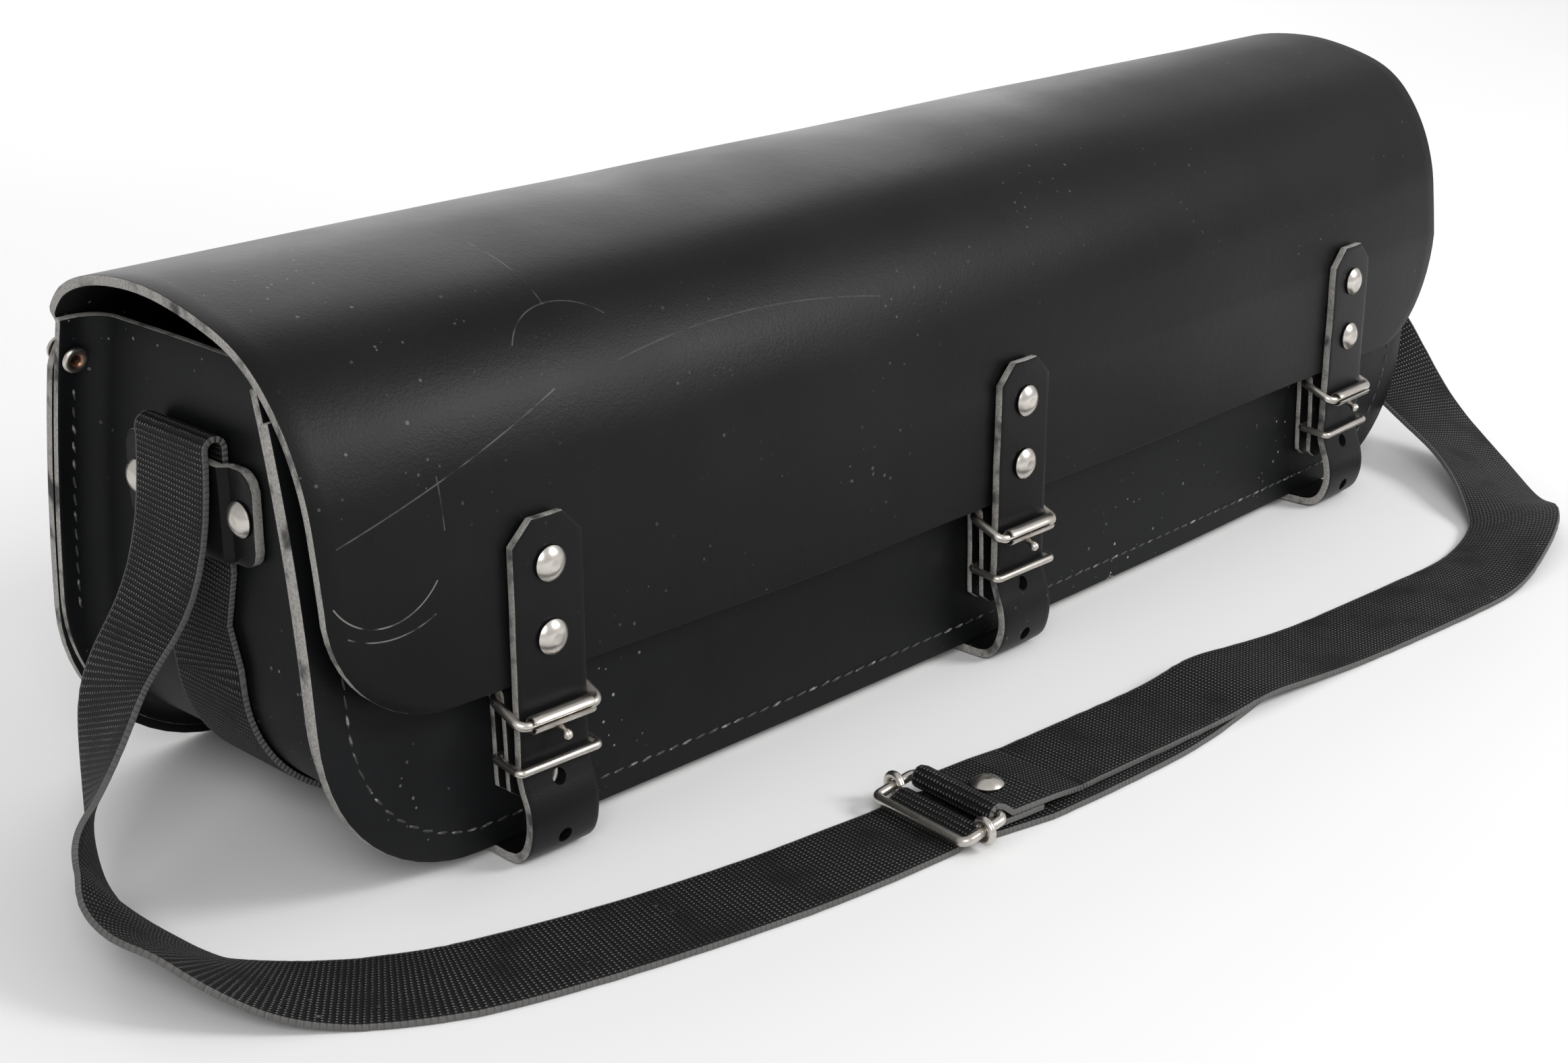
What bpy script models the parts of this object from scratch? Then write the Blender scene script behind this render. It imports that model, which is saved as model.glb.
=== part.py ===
"""Long leather tool bag: one sheet makes its back and flap, a strip makes its ends and base, three
buckled straps close it, and a band of webbing carries it.

Sizes are in millimetres and become metres in new_piece. X runs along the bag, its front faces -Y, and
Z = 0 is the surface that it stands on.
"""

import math

import bmesh
import bpy
from mathutils import Matrix, Vector

MM = 0.001
GAP = 0.3  # between pieces that touch

# The leather body
LENGTH = 560.0
DEPTH = 132.0  # across both panels at the floor
SEAM_HEIGHT = 150.0  # top of the gusset
CROWN_RISE = 19.0  # top of the flap over the gusset's top
TOP_LEAN = 16.0  # how far each panel leans in at the seam height
LEAN_POWER = 2.5  # the panels stand upright low down and lean in near the top
FRONT_BOW = 6.0  # how far the front bulges half way along
END_FULLNESS = 4.5  # how far the front panel's left end stands out
RIGHT_SETBACK = 12.0  # how far the front stands back at the right end, against the left
CORNER_RADIUS = 58.0
LEATHER = 3.0
FRONT_TOP = 0.95  # top of the front panel, a share of SEAM_HEIGHT
FRONT_LIFT = 3.4  # the front panel's lower edge stands on the closure straps' tails
FLAP_EDGE = 56.0  # height of the flap's lower edge
FLAP_RADIUS = 40.0
FLAP_STAND_OFF = 10.0  # from the front panel's face to the flap's face, low down
SEAM_NOTCH = 3.0  # cut into the sheet's ends where the back ends and the flap begins

# The gusset
GUSSET_LEATHER = 2.5
END_FLANGE = 13.0
BASE_FLANGE = 5.6
FRONT_BEND = 7.0
BACK_BEND = 8.0

# The straps and the fittings
STRAP_WIDTH = 25.0
STRAP_LEATHER = 3.0
STRAP_TOP = 105.0
STRAP_CHAMFER = 7.0
CLOSURE_PITCH = 208.0
RIVET_PITCH = 22.0
RIVET_INSET = 14.0  # from the strap's top to its first rivet
HOLE_PITCH = 18.0
HOLE_RADIUS = 2.4
CHAPE_LEATHER = 2.0
CHAPE_BOTTOM = 20.0
CHAPE_RIVETS = (38.8, 24.6)
CHAPE_SLOT = 5.0
WIRE = 3.0
KEEPER_WIRE = 2.6
KEEPER_HEIGHT = 33.0
ROLLER_DIAMETER = 5.4
ROLLER_WALL = 0.7
ROLLER_HEIGHT = 46.0
PRONG_WIRE = 2.2
CAP_DIAMETER = 10.5
CAP_HEIGHT = 2.6
CHAPE_CAP_DIAMETER = 9.0
CHAPE_CAP_HEIGHT = 1.8
SHANK_DIAMETER = 3.0
BURR_DIAMETER = 8.0
BURR_THICKNESS = 1.0
TUBE_RIVET_DIAMETER = 8.0
TUBE_RIVET_BORE = 3.0
TUBE_RIVET_DROP = 11.0  # below the gusset's top

# The webbing, its bridges and its slider
WEBBING_WIDTH = 34.0
WEBBING_THICKNESS = 1.8
BRIDGE_LENGTH = 63.0
BRIDGE_HEIGHT = 28.0
BRIDGE_MIDDLE = 106.0
BRIDGE_RIVET_PITCH = 51.0
BRIDGE_CHAMFER = 6.0
FOLD_RISE = 7.0  # how far the webbing's fold stands above a bridge
SLIDER_ALONG = -0.418  # a share of half LENGTH
SLIDER_FORWARD = 2.212  # a share of half DEPTH
SLIDER_TURN = -6.0  # degrees
SLIDER_WIRE = 3.2
SLIDER_PITCH = 16.0  # between its two long bars
SLIDER_BAR_WIRE = 2.6
SLIDER_LEFT_HEIGHT = 4.8
SLIDER_RIGHT_HEIGHT = 7.8
LOOP_RIVET = 19.5  # from the slider's middle to the webbing's rivet
LOOP_LENGTH = 27.0

SIDES = 10

CLOSURES = (
    # name, middle as a share of CLOSURE_PITCH
    ("left", -1.0),
    ("middle", 0.0),
    ("right", 1.0),
)
ENDS = (
    # name, side
    ("left", -1.0),
    ("right", 1.0),
)
CROWN = (
    # y as a share of half DEPTH, z as a share of the crown's height, from the back to the front
    (0.74, 0.908),
    (0.61, 0.957),
    (0.38, 0.988),
    (0.08, 1.0),
    (-0.21, 0.992),
    (-0.53, 0.965),
    (-0.73, 0.929),
    (-0.88, 0.876),
    (-1.00, 0.808),
    (-1.08, 0.730),
    (-1.12, 0.650),
)
STRAP_RUN = (
    # distance in front of the strap's place on the flap as a share of FLAP_STAND_OFF,
    # z as a share of FLAP_EDGE, down from the flap's edge and round under the front panel
    (0.0, 0.98),
    (0.0, 0.80),
    (0.0, 0.66),
    (0.0, 0.54),
    (0.14, 0.45),
    (0.33, 0.36),
    (0.41, 0.27),
    (0.36, 0.18),
    (0.18, 0.10),
    (-0.15, 0.048),
    (-0.55, 0.030),
    (-0.95, 0.0288),
    (-1.70, 0.0288),
)
RIGHT_RUN = (
    # x as a share of half LENGTH, y as a share of half DEPTH, the lower edge's height as a share of
    # SEAM_HEIGHT, and the direction across the webbing: its turn from +X to +Y and its lift, in degrees
    (-0.26, -2.23, 0.016, 88, 1),
    (-0.14, -2.25, 0.016, 88, 1),
    (0.00, -2.27, 0.016, 90, 1),
    (0.08, -2.28, 0.027, 90, 3),
    (0.17, -2.30, 0.014, 90, 2),
    (0.29, -2.33, 0.002, 90, 1),
    (0.44, -2.37, 0.002, 90, 2),
    (0.59, -2.39, 0.002, 90, 2),
    (0.686, -2.32, 0.002, 102, -8),
    (0.765, -2.22, 0.006, 130, -14),
    (0.825, -2.08, 0.020, 158, -8),
    (0.882, -1.85, 0.016, 162, 8),
    (0.968, -1.44, 0.035, 160, 10),
    (1.021, -0.94, 0.120, 150, 6),
    (1.046, -0.58, 0.240, 134, 0),
    (1.034, -0.26, 0.385, 110, -4),
    (1.004, -0.05, 0.500, 93, -2),
)
LEFT_RUN = (
    # the same columns
    (-1.012, 0.03, 0.490, 90, -4),
    (-1.058, 0.02, 0.385, 90, -9),
    (-1.088, -0.05, 0.290, 84, -15),
    (-1.118, -0.13, 0.175, 68, -20),
    (-1.139, -0.21, 0.100, 56, -24),
    (-1.154, -0.34, 0.048, 52, -26),
    (-1.162, -0.56, 0.006, 48, -24),
    (-1.168, -0.80, 0.002, 48, -24),
    (-1.160, -1.02, 0.002, 52, -24),
    (-1.142, -1.19, 0.002, 48, -17),
    (-1.106, -1.38, 0.002, 46, -6),
    (-1.062, -1.54, 0.002, 54, 0),
    (-1.014, -1.69, 0.002, 66, 1),
    (-0.946, -1.83, 0.002, 74, 2),
    (-0.793, -2.00, 0.002, 82, 1),
    (-0.640, -2.12, 0.002, 84, 1),
    (-0.540, -2.17, 0.002, 84, 1),
)
TAIL_RUN = (
    # the same columns, under the webbing on the slider's other side
    (-0.31, -2.29, 0.002, 86, 0),
    (-0.20, -2.31, 0.002, 88, 0),
    (-0.08, -2.31, 0.002, 90, 0),
    (0.02, -2.26, 0.002, 90, 0),
    (0.075, -2.22, 0.002, 90, 0),
    (0.105, -2.21, 0.002, 90, 0),
)
WALL_RUN = (
    # y as a share of half DEPTH, z as a share of BRIDGE_MIDDLE, down a bag's end
    (0.0, 1.00),
    (0.0, 0.84),
    (0.07, 0.66),
)


def new_material(name, colour, metallic, roughness):
    material = bpy.data.materials.new(name)
    material.use_nodes = True
    shader = material.node_tree.nodes["Principled BSDF"]
    shader.inputs["Base Color"].default_value = (*colour, 1.0)
    shader.inputs["Metallic"].default_value = metallic
    shader.inputs["Roughness"].default_value = roughness
    return material


def new_piece(name, mesh_data, kind):
    """A smooth-shaded object from a bmesh in millimetres, with a material of its own."""
    bmesh.ops.scale(mesh_data, vec=(MM, MM, MM), verts=mesh_data.verts)
    bmesh.ops.recalc_face_normals(mesh_data, faces=mesh_data.faces)
    mesh = bpy.data.meshes.new(name)
    mesh_data.to_mesh(mesh)
    mesh_data.free()
    mesh.shade_smooth()
    mesh.set_sharp_from_angle(angle=math.radians(35))
    piece = bpy.data.objects.new(name, mesh)
    bpy.context.scene.collection.objects.link(piece)
    mesh.materials.append(new_material(name, *FINISHES[kind]))
    return piece


FINISHES = {
    # colour, metallic, roughness
    "leather": ((0.021, 0.022, 0.024), 0.0, 0.45),
    "webbing": ((0.030, 0.031, 0.033), 0.0, 0.85),
    "nickel": ((0.62, 0.59, 0.55), 1.0, 0.32),
}


def wall(name, outer, inner, kind, closed=False):
    """A closed wall between two grids of points, rows by columns. A closed one joins its last row
    to its first."""
    body = bmesh.new()
    rows, columns = len(outer), len(outer[0])
    grids = [[[body.verts.new(point) for point in row] for row in grid] for grid in (outer, inner)]
    last = rows if closed else rows - 1
    for grid in grids:
        for row in range(last):
            below = (row + 1) % rows
            for column in range(columns - 1):
                body.faces.new(
                    (grid[row][column], grid[row][column + 1], grid[below][column + 1], grid[below][column])
                )
    front, back = grids
    for column in (0, columns - 1):
        for row in range(last):
            below = (row + 1) % rows
            near = (front[row][column], front[below][column])
            body.faces.new((*near, back[below][column], back[row][column]))
    if not closed:
        for row in (0, rows - 1):
            for column in range(columns - 1):
                body.faces.new(
                    (front[row][column], front[row][column + 1], back[row][column + 1], back[row][column])
                )
    return new_piece(name, body, kind)


def turned(name, rings, foot, axis, kind, sides=8):
    """A closed turned solid: rings of radius and height along an axis, a radius of 0 being a pole."""
    body = bmesh.new()
    axis = Vector(axis).normalized()
    side = axis.orthogonal().normalized()
    other = axis.cross(side)
    foot = Vector(foot)
    loops = []
    for radius, height in rings:
        middle = foot + axis * height
        if radius == 0.0:
            loops.append([body.verts.new(middle)])
            continue
        turns = [2.0 * math.pi * step / sides for step in range(sides)]
        loops.append(
            [body.verts.new(middle + radius * (side * math.cos(a) + other * math.sin(a))) for a in turns]
        )
    for low, high in zip(loops, loops[1:]):
        for step in range(sides):
            after = (step + 1) % sides
            corners = [low[step % len(low)], low[after % len(low)]]
            corners += [high[after % len(high)], high[step % len(high)]]
            body.faces.new(list(dict.fromkeys(corners)))
    for loop in (loops[0], loops[-1]):
        if len(loop) > 1:
            body.faces.new(loop)
    return new_piece(name, body, kind)


def wire(name, points, diameter, closed, kind):
    """A round wire along points, as a curve with a bevel."""
    curve = bpy.data.curves.new(name, "CURVE")
    curve.dimensions = "3D"
    curve.bevel_depth = diameter / 2.0 * MM
    curve.bevel_resolution = 1
    curve.use_fill_caps = not closed
    spline = curve.splines.new("POLY")
    spline.points.add(len(points) - 1)
    for vertex, point in zip(spline.points, points):
        vertex.co = (*(Vector(point) * MM), 1.0)
    spline.use_cyclic_u = closed
    spline.use_smooth = True
    piece = bpy.data.objects.new(name, curve)
    bpy.context.scene.collection.objects.link(piece)
    curve.materials.append(new_material(name, *FINISHES[kind]))
    return piece


def cut(piece, cutters):
    """Cuts closed shapes, given as a bmesh in millimetres, out of a piece."""
    bmesh.ops.scale(cutters, vec=(MM, MM, MM), verts=cutters.verts)
    bmesh.ops.recalc_face_normals(cutters, faces=cutters.faces)
    mesh = bpy.data.meshes.new(piece.name + "_cutter")
    cutters.to_mesh(mesh)
    cutters.free()
    tool = bpy.data.objects.new(piece.name + "_cutter", mesh)
    bpy.context.scene.collection.objects.link(tool)
    tool.hide_render = True
    tool.display_type = "WIRE"
    modifier = piece.modifiers.new("cut", "BOOLEAN")
    modifier.operation = "DIFFERENCE"
    modifier.solver = "EXACT"
    modifier.object = tool


def add_drill(cutters, start, end, radius, sides=8):
    """Adds a round bar between two points to a bmesh of cutters."""
    start, end = Vector(start), Vector(end)
    axis = (end - start).normalized()
    side = axis.orthogonal().normalized()
    other = axis.cross(side)
    loops = []
    for middle in (start, end):
        turns = [2.0 * math.pi * step / sides for step in range(sides)]
        loops.append(
            [cutters.verts.new(middle + radius * (side * math.cos(a) + other * math.sin(a))) for a in turns]
        )
    for step in range(sides):
        after = (step + 1) % sides
        cutters.faces.new((loops[0][step], loops[0][after], loops[1][after], loops[1][step]))
    cutters.faces.new(loops[0])
    cutters.faces.new(loops[1])


def smooth(points, steps):
    """A smooth curve through points, with this many steps between each two."""
    curve = []
    for index in range(len(points) - 1):
        before = points[max(index - 1, 0)]
        here, there = points[index], points[index + 1]
        after = points[min(index + 2, len(points) - 1)]
        for step in range(steps):
            t = step / steps
            curve.append(
                0.5
                * (
                    2.0 * here
                    + (there - before) * t
                    + (2.0 * before - 5.0 * here + 4.0 * there - after) * t**2
                    + (3.0 * here - before - 3.0 * there + after) * t**3
                )
            )
    return curve + [points[-1]]


def corner_steps(radius, steps=6):
    """Heights above an edge with a round corner, and how far the edge draws in at each."""
    turns = [math.pi / 2.0 * step / steps for step in range(steps + 1)]
    return [(radius * (1.0 - math.cos(turn)), radius * (1.0 - math.sin(turn))) for turn in turns]


def panel_lean(height):
    return TOP_LEAN * (min(max(height, 0.0), SEAM_HEIGHT) / SEAM_HEIGHT) ** LEAN_POWER


def bow(x):
    return FRONT_BOW * (1.0 - (2.0 * x / LENGTH) ** 2) - RIGHT_SETBACK * (0.5 + x / LENGTH)


def front_face(x, height):
    """y of the front panel's outer face."""
    return -DEPTH / 2.0 + panel_lean(height) - bow(x) - END_FULLNESS * max(-2.0 * x / LENGTH, 0.0) ** 14


def back_face(height):
    """y of the back's outer face."""
    return DEPTH / 2.0 - panel_lean(height)


def back_normal(height):
    """The way the leaning back faces."""
    slope = TOP_LEAN * LEAN_POWER / SEAM_HEIGHT * (height / SEAM_HEIGHT) ** (LEAN_POWER - 1.0)
    return Vector((0.0, 1.0, slope)).normalized()


def flap_face(x):
    """y of the flap's outer face where it hangs straight."""
    return -DEPTH / 2.0 - FLAP_STAND_OFF - bow(x)


def across_columns(half_width, count=10):
    return [half_width * (2.0 * column / count - 1.0) for column in range(count + 1)]


def back_and_flap():
    """One sheet, up the back, over the top and down the front."""
    rows = [(back_face(rise), rise, draw) for rise, draw in corner_steps(CORNER_RADIUS)]
    rows += [(back_face(SEAM_HEIGHT * share), SEAM_HEIGHT * share, 0.0) for share in (0.52, 0.66, 0.8, 0.9)]
    rows.append((back_face(SEAM_HEIGHT * 0.97), SEAM_HEIGHT * 0.97, SEAM_NOTCH))
    rows += [(DEPTH / 2.0 * y, (SEAM_HEIGHT + CROWN_RISE) * z, 0.0) for y, z in CROWN]
    rows += [
        (-DEPTH / 2.0 - FLAP_STAND_OFF, FLAP_EDGE + rise, draw)
        for rise, draw in reversed(corner_steps(FLAP_RADIUS))
    ]
    outer, inner = [], []
    for index, (y, z, draw) in enumerate(rows):
        before, after = rows[max(index - 1, 0)], rows[min(index + 1, len(rows) - 1)]
        along = Vector((0.0, after[0] - before[0], after[1] - before[1])).normalized()
        inward = Vector((0.0, -along.z, along.y))
        bulge = min(max(-y / (DEPTH / 2.0 + FLAP_STAND_OFF), 0.0), 1.0)
        columns = across_columns(LENGTH / 2.0 - draw)
        outer.append([Vector((x, y - bow(x) * bulge, z)) for x in columns])
        inner.append([point + inward * LEATHER for point in outer[-1]])
    piece = wall("back_and_flap", outer, inner, "leather")
    holes = bmesh.new()
    for _, share in CLOSURES:
        x = share * CLOSURE_PITCH
        for z in closure_rivet_heights():
            face = flap_face(x)
            start, end = (x, face - LEATHER, z), (x, face + 2.5 * LEATHER, z)
            add_drill(holes, start, end, SHANK_DIAMETER / 2.0 + GAP)
    add_tube_rivet_drills(holes)
    cut(piece, holes)


def front_panel():
    rows = [(FRONT_LIFT + rise, draw) for rise, draw in corner_steps(CORNER_RADIUS - FRONT_LIFT)]
    rows += [(SEAM_HEIGHT * share, 0.0) for share in (0.55, 0.7, 0.85, FRONT_TOP)]
    outer, inner = [], []
    for z, draw in rows:
        columns = across_columns(LENGTH / 2.0 - draw)
        outer.append([Vector((x, front_face(x, z), z)) for x in columns])
        inner.append([point + Vector((0.0, LEATHER, 0.0)) for point in outer[-1]])
    piece = wall("front_panel", outer, inner, "leather")
    holes = bmesh.new()
    for _, share in CLOSURES:
        x = share * CLOSURE_PITCH
        for z in CHAPE_RIVETS:
            face = front_face(x, z)
            radius = SHANK_DIAMETER / 2.0 + 3.0 * GAP
            add_drill(holes, (x, face - LEATHER, z), (x, face + 2.0 * LEATHER, z), radius)
    cut(piece, holes)


def u_path(half, base, radius):
    """Points down the left end, along the base and up the right end."""
    left = [(-half, SEAM_HEIGHT + (base + radius - SEAM_HEIGHT) * share) for share in (0.0, 0.33, 0.66)]
    for step in range(7):
        turn = math.pi / 2.0 * step / 6.0
        left.append((-half + radius * (1.0 - math.cos(turn)), base + radius * (1.0 - math.sin(turn))))
    left.append((-(half - radius) / 2.0, base))
    return left + [(0.0, base)] + [(-x, z) for x, z in reversed(left)]


def gusset_half():
    """x of the gusset's outer face at an end."""
    return LENGTH / 2.0 - END_FLANGE


def gusset_base():
    """z of the gusset's lower face."""
    return FRONT_LIFT + BASE_FLANGE


def bend_points(radius, thickness):
    """y from the flange's face and outward offset round a bend, on its outer and its inner side."""
    turns = [math.pi / 6.0 * step for step in range(4)]
    outside = [
        (thickness + radius * (1.0 - math.cos(turn)), radius * (1.0 - math.sin(turn))) for turn in turns
    ]
    whole = radius + thickness
    inside = [
        (whole * (1.0 - math.cos(turn)), whole * (1.0 - math.sin(turn)) - thickness) for turn in turns
    ]
    return outside, inside


def gusset():
    """A strip round the ends and the base, its edges turned outward and sewn to the panels."""
    webs = u_path(gusset_half(), gusset_base(), CORNER_RADIUS - END_FLANGE)
    tips = u_path(LENGTH / 2.0 - GAP, FRONT_LIFT + GAP, CORNER_RADIUS - GAP)
    front_bend = bend_points(FRONT_BEND, GUSSET_LEATHER)
    back_bend = bend_points(BACK_BEND, GUSSET_LEATHER)
    outer, inner = [], []
    for (web_x, web_z), (tip_x, tip_z) in zip(webs, tips):
        reach = Vector((tip_x - web_x, 0.0, tip_z - web_z))
        outward = reach.normalized()
        limit = reach.length
        web = Vector((web_x, 0.0, web_z))
        for rows, side in ((outer, 0), (inner, 1)):
            row = []
            for bend, seam in ((front_bend[side], "front"), (back_bend[side], "back")):
                points = [((GUSSET_LEATHER, limit) if side == 0 else (0.0, limit))] + bend
                placed = []
                for depth, offset in points:
                    spot = web + outward * min(offset, limit * 0.999 if offset != limit else limit)
                    if seam == "front":
                        spot.y = front_face(spot.x, spot.z) + LEATHER + GAP + depth
                    else:
                        spot.y = back_face(spot.z) - LEATHER - GAP - depth
                    placed.append(spot)
                row += placed if seam == "front" else list(reversed(placed))
            middle = len(row) // 2
            row.insert(middle, (row[middle - 1] + row[middle]) / 2.0)
            rows.append(row)
    piece = wall("gusset", outer, inner, "leather")
    holes = bmesh.new()
    for _, side in ENDS:
        for y in (-BRIDGE_RIVET_PITCH / 2.0, BRIDGE_RIVET_PITCH / 2.0):
            x = side * gusset_half()
            add_drill(
                holes,
                (x - side * 2.0 * LEATHER, y, BRIDGE_MIDDLE),
                (x + side * LEATHER, y, BRIDGE_MIDDLE),
                SHANK_DIAMETER / 2.0 + GAP,
            )
    add_tube_rivet_drills(holes)
    cut(piece, holes)


def tube_rivet_height():
    return SEAM_HEIGHT - TUBE_RIVET_DROP


def tube_rivet_place(side):
    x = LENGTH / 2.0 - TUBE_RIVET_DIAMETER / 2.0 - 2.0 * GAP
    return Vector((side * x, back_face(tube_rivet_height()), tube_rivet_height()))


def add_tube_rivet_drills(cutters):
    along = back_normal(tube_rivet_height()) * LEATHER
    for _, side in ENDS:
        spot = tube_rivet_place(side)
        add_drill(cutters, spot - along * 3.2, spot + along, SHANK_DIAMETER / 2.0 + 2.0 * GAP)


def tube_rivets():
    """Tubular rivets through the back and the gusset's flange, near its top corners."""
    bore, shank = TUBE_RIVET_BORE / 2.0, SHANK_DIAMETER / 2.0 + GAP
    burr, head = BURR_DIAMETER / 2.0, TUBE_RIVET_DIAMETER / 2.0
    grip = LEATHER + GUSSET_LEATHER + 6.0 * GAP
    rings = (
        # radius, distance in front of the back's outer face
        (bore, -GAP - BURR_THICKNESS),
        (burr, -GAP - BURR_THICKNESS),
        (burr, -GAP),
        (shank, -GAP),
        (shank, grip),
        (head, grip),
        (head * 0.97, grip + BURR_THICKNESS * 0.6),
        (head * 0.72, grip + BURR_THICKNESS * 1.2),
        (bore, grip + BURR_THICKNESS * 0.7),
    )
    forward = -back_normal(tube_rivet_height())
    across = Vector((1.0, 0.0, 0.0))
    upward = forward.cross(across)
    for name, side in ENDS:
        body = bmesh.new()
        loops = []
        for step in range(SIDES):
            turn = 2.0 * math.pi * step / SIDES
            spoke = across * math.cos(turn) + upward * math.sin(turn)
            foot = tube_rivet_place(side)
            spots = [foot + spoke * radius + forward * height for radius, height in rings]
            loops.append([body.verts.new(spot) for spot in spots])
        for step, loop in enumerate(loops):
            other = loops[(step + 1) % SIDES]
            for index in range(len(rings)):
                after = (index + 1) % len(rings)
                body.faces.new((loop[index], loop[after], other[after], other[index]))
        new_piece(f"corner_rivet_{name}", body, "nickel")


def rivet(name, face, axis, grip, cap_diameter=CAP_DIAMETER, cap_height=CAP_HEIGHT):
    """A rivet with a domed cap on a face, through layers of this thickness in all."""
    cap, burr, shank = cap_diameter / 2.0, BURR_DIAMETER / 2.0, SHANK_DIAMETER / 2.0
    rings = (
        (burr, -grip - GAP - BURR_THICKNESS),
        (burr, -grip - GAP),
        (shank, -grip - GAP),
        (shank, GAP),
        (cap, GAP),
        (cap, GAP + cap_height * 0.3),
        (cap * 0.78, GAP + cap_height * 0.75),
        (0.0, GAP + cap_height),
    )
    turned(name, rings, face, axis, "nickel")


def closure_rivet_heights():
    return (STRAP_TOP - RIVET_INSET, STRAP_TOP - RIVET_INSET - RIVET_PITCH)


def strap_line(x):
    """y of the middle of a closure strap's thickness on the flap."""
    return flap_face(x) - GAP - STRAP_LEATHER / 2.0


def hinge_place(x):
    """y and z of a buckle's hinge bar, inside the chape's fold."""
    offset = GAP + CHAPE_LEATHER + GAP + WIRE / 2.0
    height = FLAP_EDGE - 2.0 * GAP - CHAPE_LEATHER - GAP - WIRE / 2.0
    return front_face(x, height) - offset, height


def roller_place(x):
    """y and z of a buckle's roller, in front of the strap."""
    return strap_line(x) - STRAP_LEATHER / 2.0 - GAP - ROLLER_DIAMETER / 2.0, ROLLER_HEIGHT


def prong_line(x):
    """Start and end of a prong's straight stretch, from its eye to its tip under the roller."""
    hinge_y, hinge_z = hinge_place(x)
    roller_y, roller_z = roller_place(x)
    eye = (WIRE + PRONG_WIRE) / 2.0 + GAP
    drop = (ROLLER_DIAMETER + PRONG_WIRE) / 2.0 + GAP
    start = Vector((x, hinge_y, hinge_z))
    under = Vector((x, roller_y, roller_z - drop))
    run = (under - start).normalized()
    start = start + Vector((0.0, -run.z, run.y)) * eye
    return start, under + (under - start).normalized() * ROLLER_DIAMETER * 0.75


def strap_hole_heights(x):
    """The prong's hole in a closure strap, then the two free ones below."""
    start, tip = prong_line(x)
    share = (strap_line(x) - start.y) / (tip.y - start.y)
    height = start.z + (tip.z - start.z) * share
    return (height, height - HOLE_PITCH, height - 2.0 * HOLE_PITCH)


def strap_centres(x):
    """Middle of a closure strap's thickness, from its top down and round under the front panel."""
    flat = strap_line(x)
    run = [Vector((x, flat - FLAP_STAND_OFF * y, FLAP_EDGE * z)) for y, z in STRAP_RUN]
    return smooth(run, 2)


def closure_strap(name, x):
    flat = strap_line(x)
    top = [(STRAP_TOP, STRAP_CHAMFER), (STRAP_TOP - STRAP_CHAMFER, 0.0), (FLAP_EDGE * 1.2, 0.0)]
    centres = [(Vector((x, flat, z)), draw) for z, draw in top]
    centres += [(centre, 0.0) for centre in strap_centres(x)]
    outer, inner = [], []
    for index, (centre, draw) in enumerate(centres):
        before = centres[max(index - 1, 0)][0]
        after = centres[min(index + 1, len(centres) - 1)][0]
        along = (after - before).normalized()
        outward = Vector((0.0, along.z, -along.y)) * (STRAP_LEATHER / 2.0)
        half = Vector((STRAP_WIDTH / 2.0 - draw, 0.0, 0.0))
        outer.append([centre + outward - half, centre + outward + half])
        inner.append([centre - outward - half, centre - outward + half])
    piece = wall(f"closure_strap_{name}", outer, inner, "leather")
    holes = bmesh.new()
    reach = Vector((0.0, 2.0 * STRAP_LEATHER, 0.0))
    for z in closure_rivet_heights():
        spot = Vector((x, flat, z))
        add_drill(holes, spot - reach, spot + reach, SHANK_DIAMETER / 2.0 + GAP)
    for z in strap_hole_heights(x):
        nearest = min(strap_centres(x), key=lambda point: abs(point.z - z) + 0.2 * abs(point.y - flat))
        spot = Vector((x, nearest.y, z))
        add_drill(holes, spot - reach, spot + reach, HOLE_RADIUS)
    cut(piece, holes)


def chape_front(x, height):
    """y of the middle of the chape's front layer."""
    return front_face(x, height) - 3.0 * GAP - CHAPE_LEATHER * 1.5 - WIRE


def chape(name, x):
    """A folded leather tab that holds the hinge bar in its fold and the keeper between its layers."""
    hinge_y, hinge_z = hinge_place(x)
    half_sheet = CHAPE_LEATHER / 2.0
    heights = (CHAPE_BOTTOM, CHAPE_BOTTOM + 6.0, KEEPER_HEIGHT, CHAPE_RIVETS[0])
    back = [Vector((x, front_face(x, z) - GAP - half_sheet, z)) for z in heights]
    radius = WIRE / 2.0 + GAP + half_sheet
    turns = [math.pi * step / 6.0 for step in range(7)]
    fold = [
        Vector((x, hinge_y + radius * math.cos(turn), hinge_z + radius * math.sin(turn))) for turn in turns
    ]
    front = [Vector((x, chape_front(x, z), z)) for z in reversed(heights)]
    centres = back + fold + front
    outer, inner = [], []
    for index, centre in enumerate(centres):
        along = (centres[min(index + 1, len(centres) - 1)] - centres[max(index - 1, 0)]).normalized()
        outward = Vector((0.0, along.z, -along.y)) * half_sheet
        half = Vector((STRAP_WIDTH / 2.0, 0.0, 0.0))
        outer.append([centre + outward - half, centre + outward + half])
        inner.append([centre - outward - half, centre - outward + half])
    piece = wall(f"chape_{name}", outer, inner, "leather")
    cuts = bmesh.new()
    for z in CHAPE_RIVETS:
        face = front_face(x, z)
        add_drill(cuts, (x, face - 15.0, z), (x, face + 2.0, z), SHANK_DIAMETER / 2.0 + GAP)
    low, high = hinge_z - WIRE * 2.5, FLAP_EDGE + 5.0
    corners = bmesh.ops.create_cube(cuts, size=1.0)["verts"]
    bmesh.ops.scale(cuts, vec=(CHAPE_SLOT, 30.0, high - low), verts=corners)
    bmesh.ops.translate(cuts, vec=(x, hinge_y, (low + high) / 2.0), verts=corners)
    cut(piece, cuts)


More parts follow.
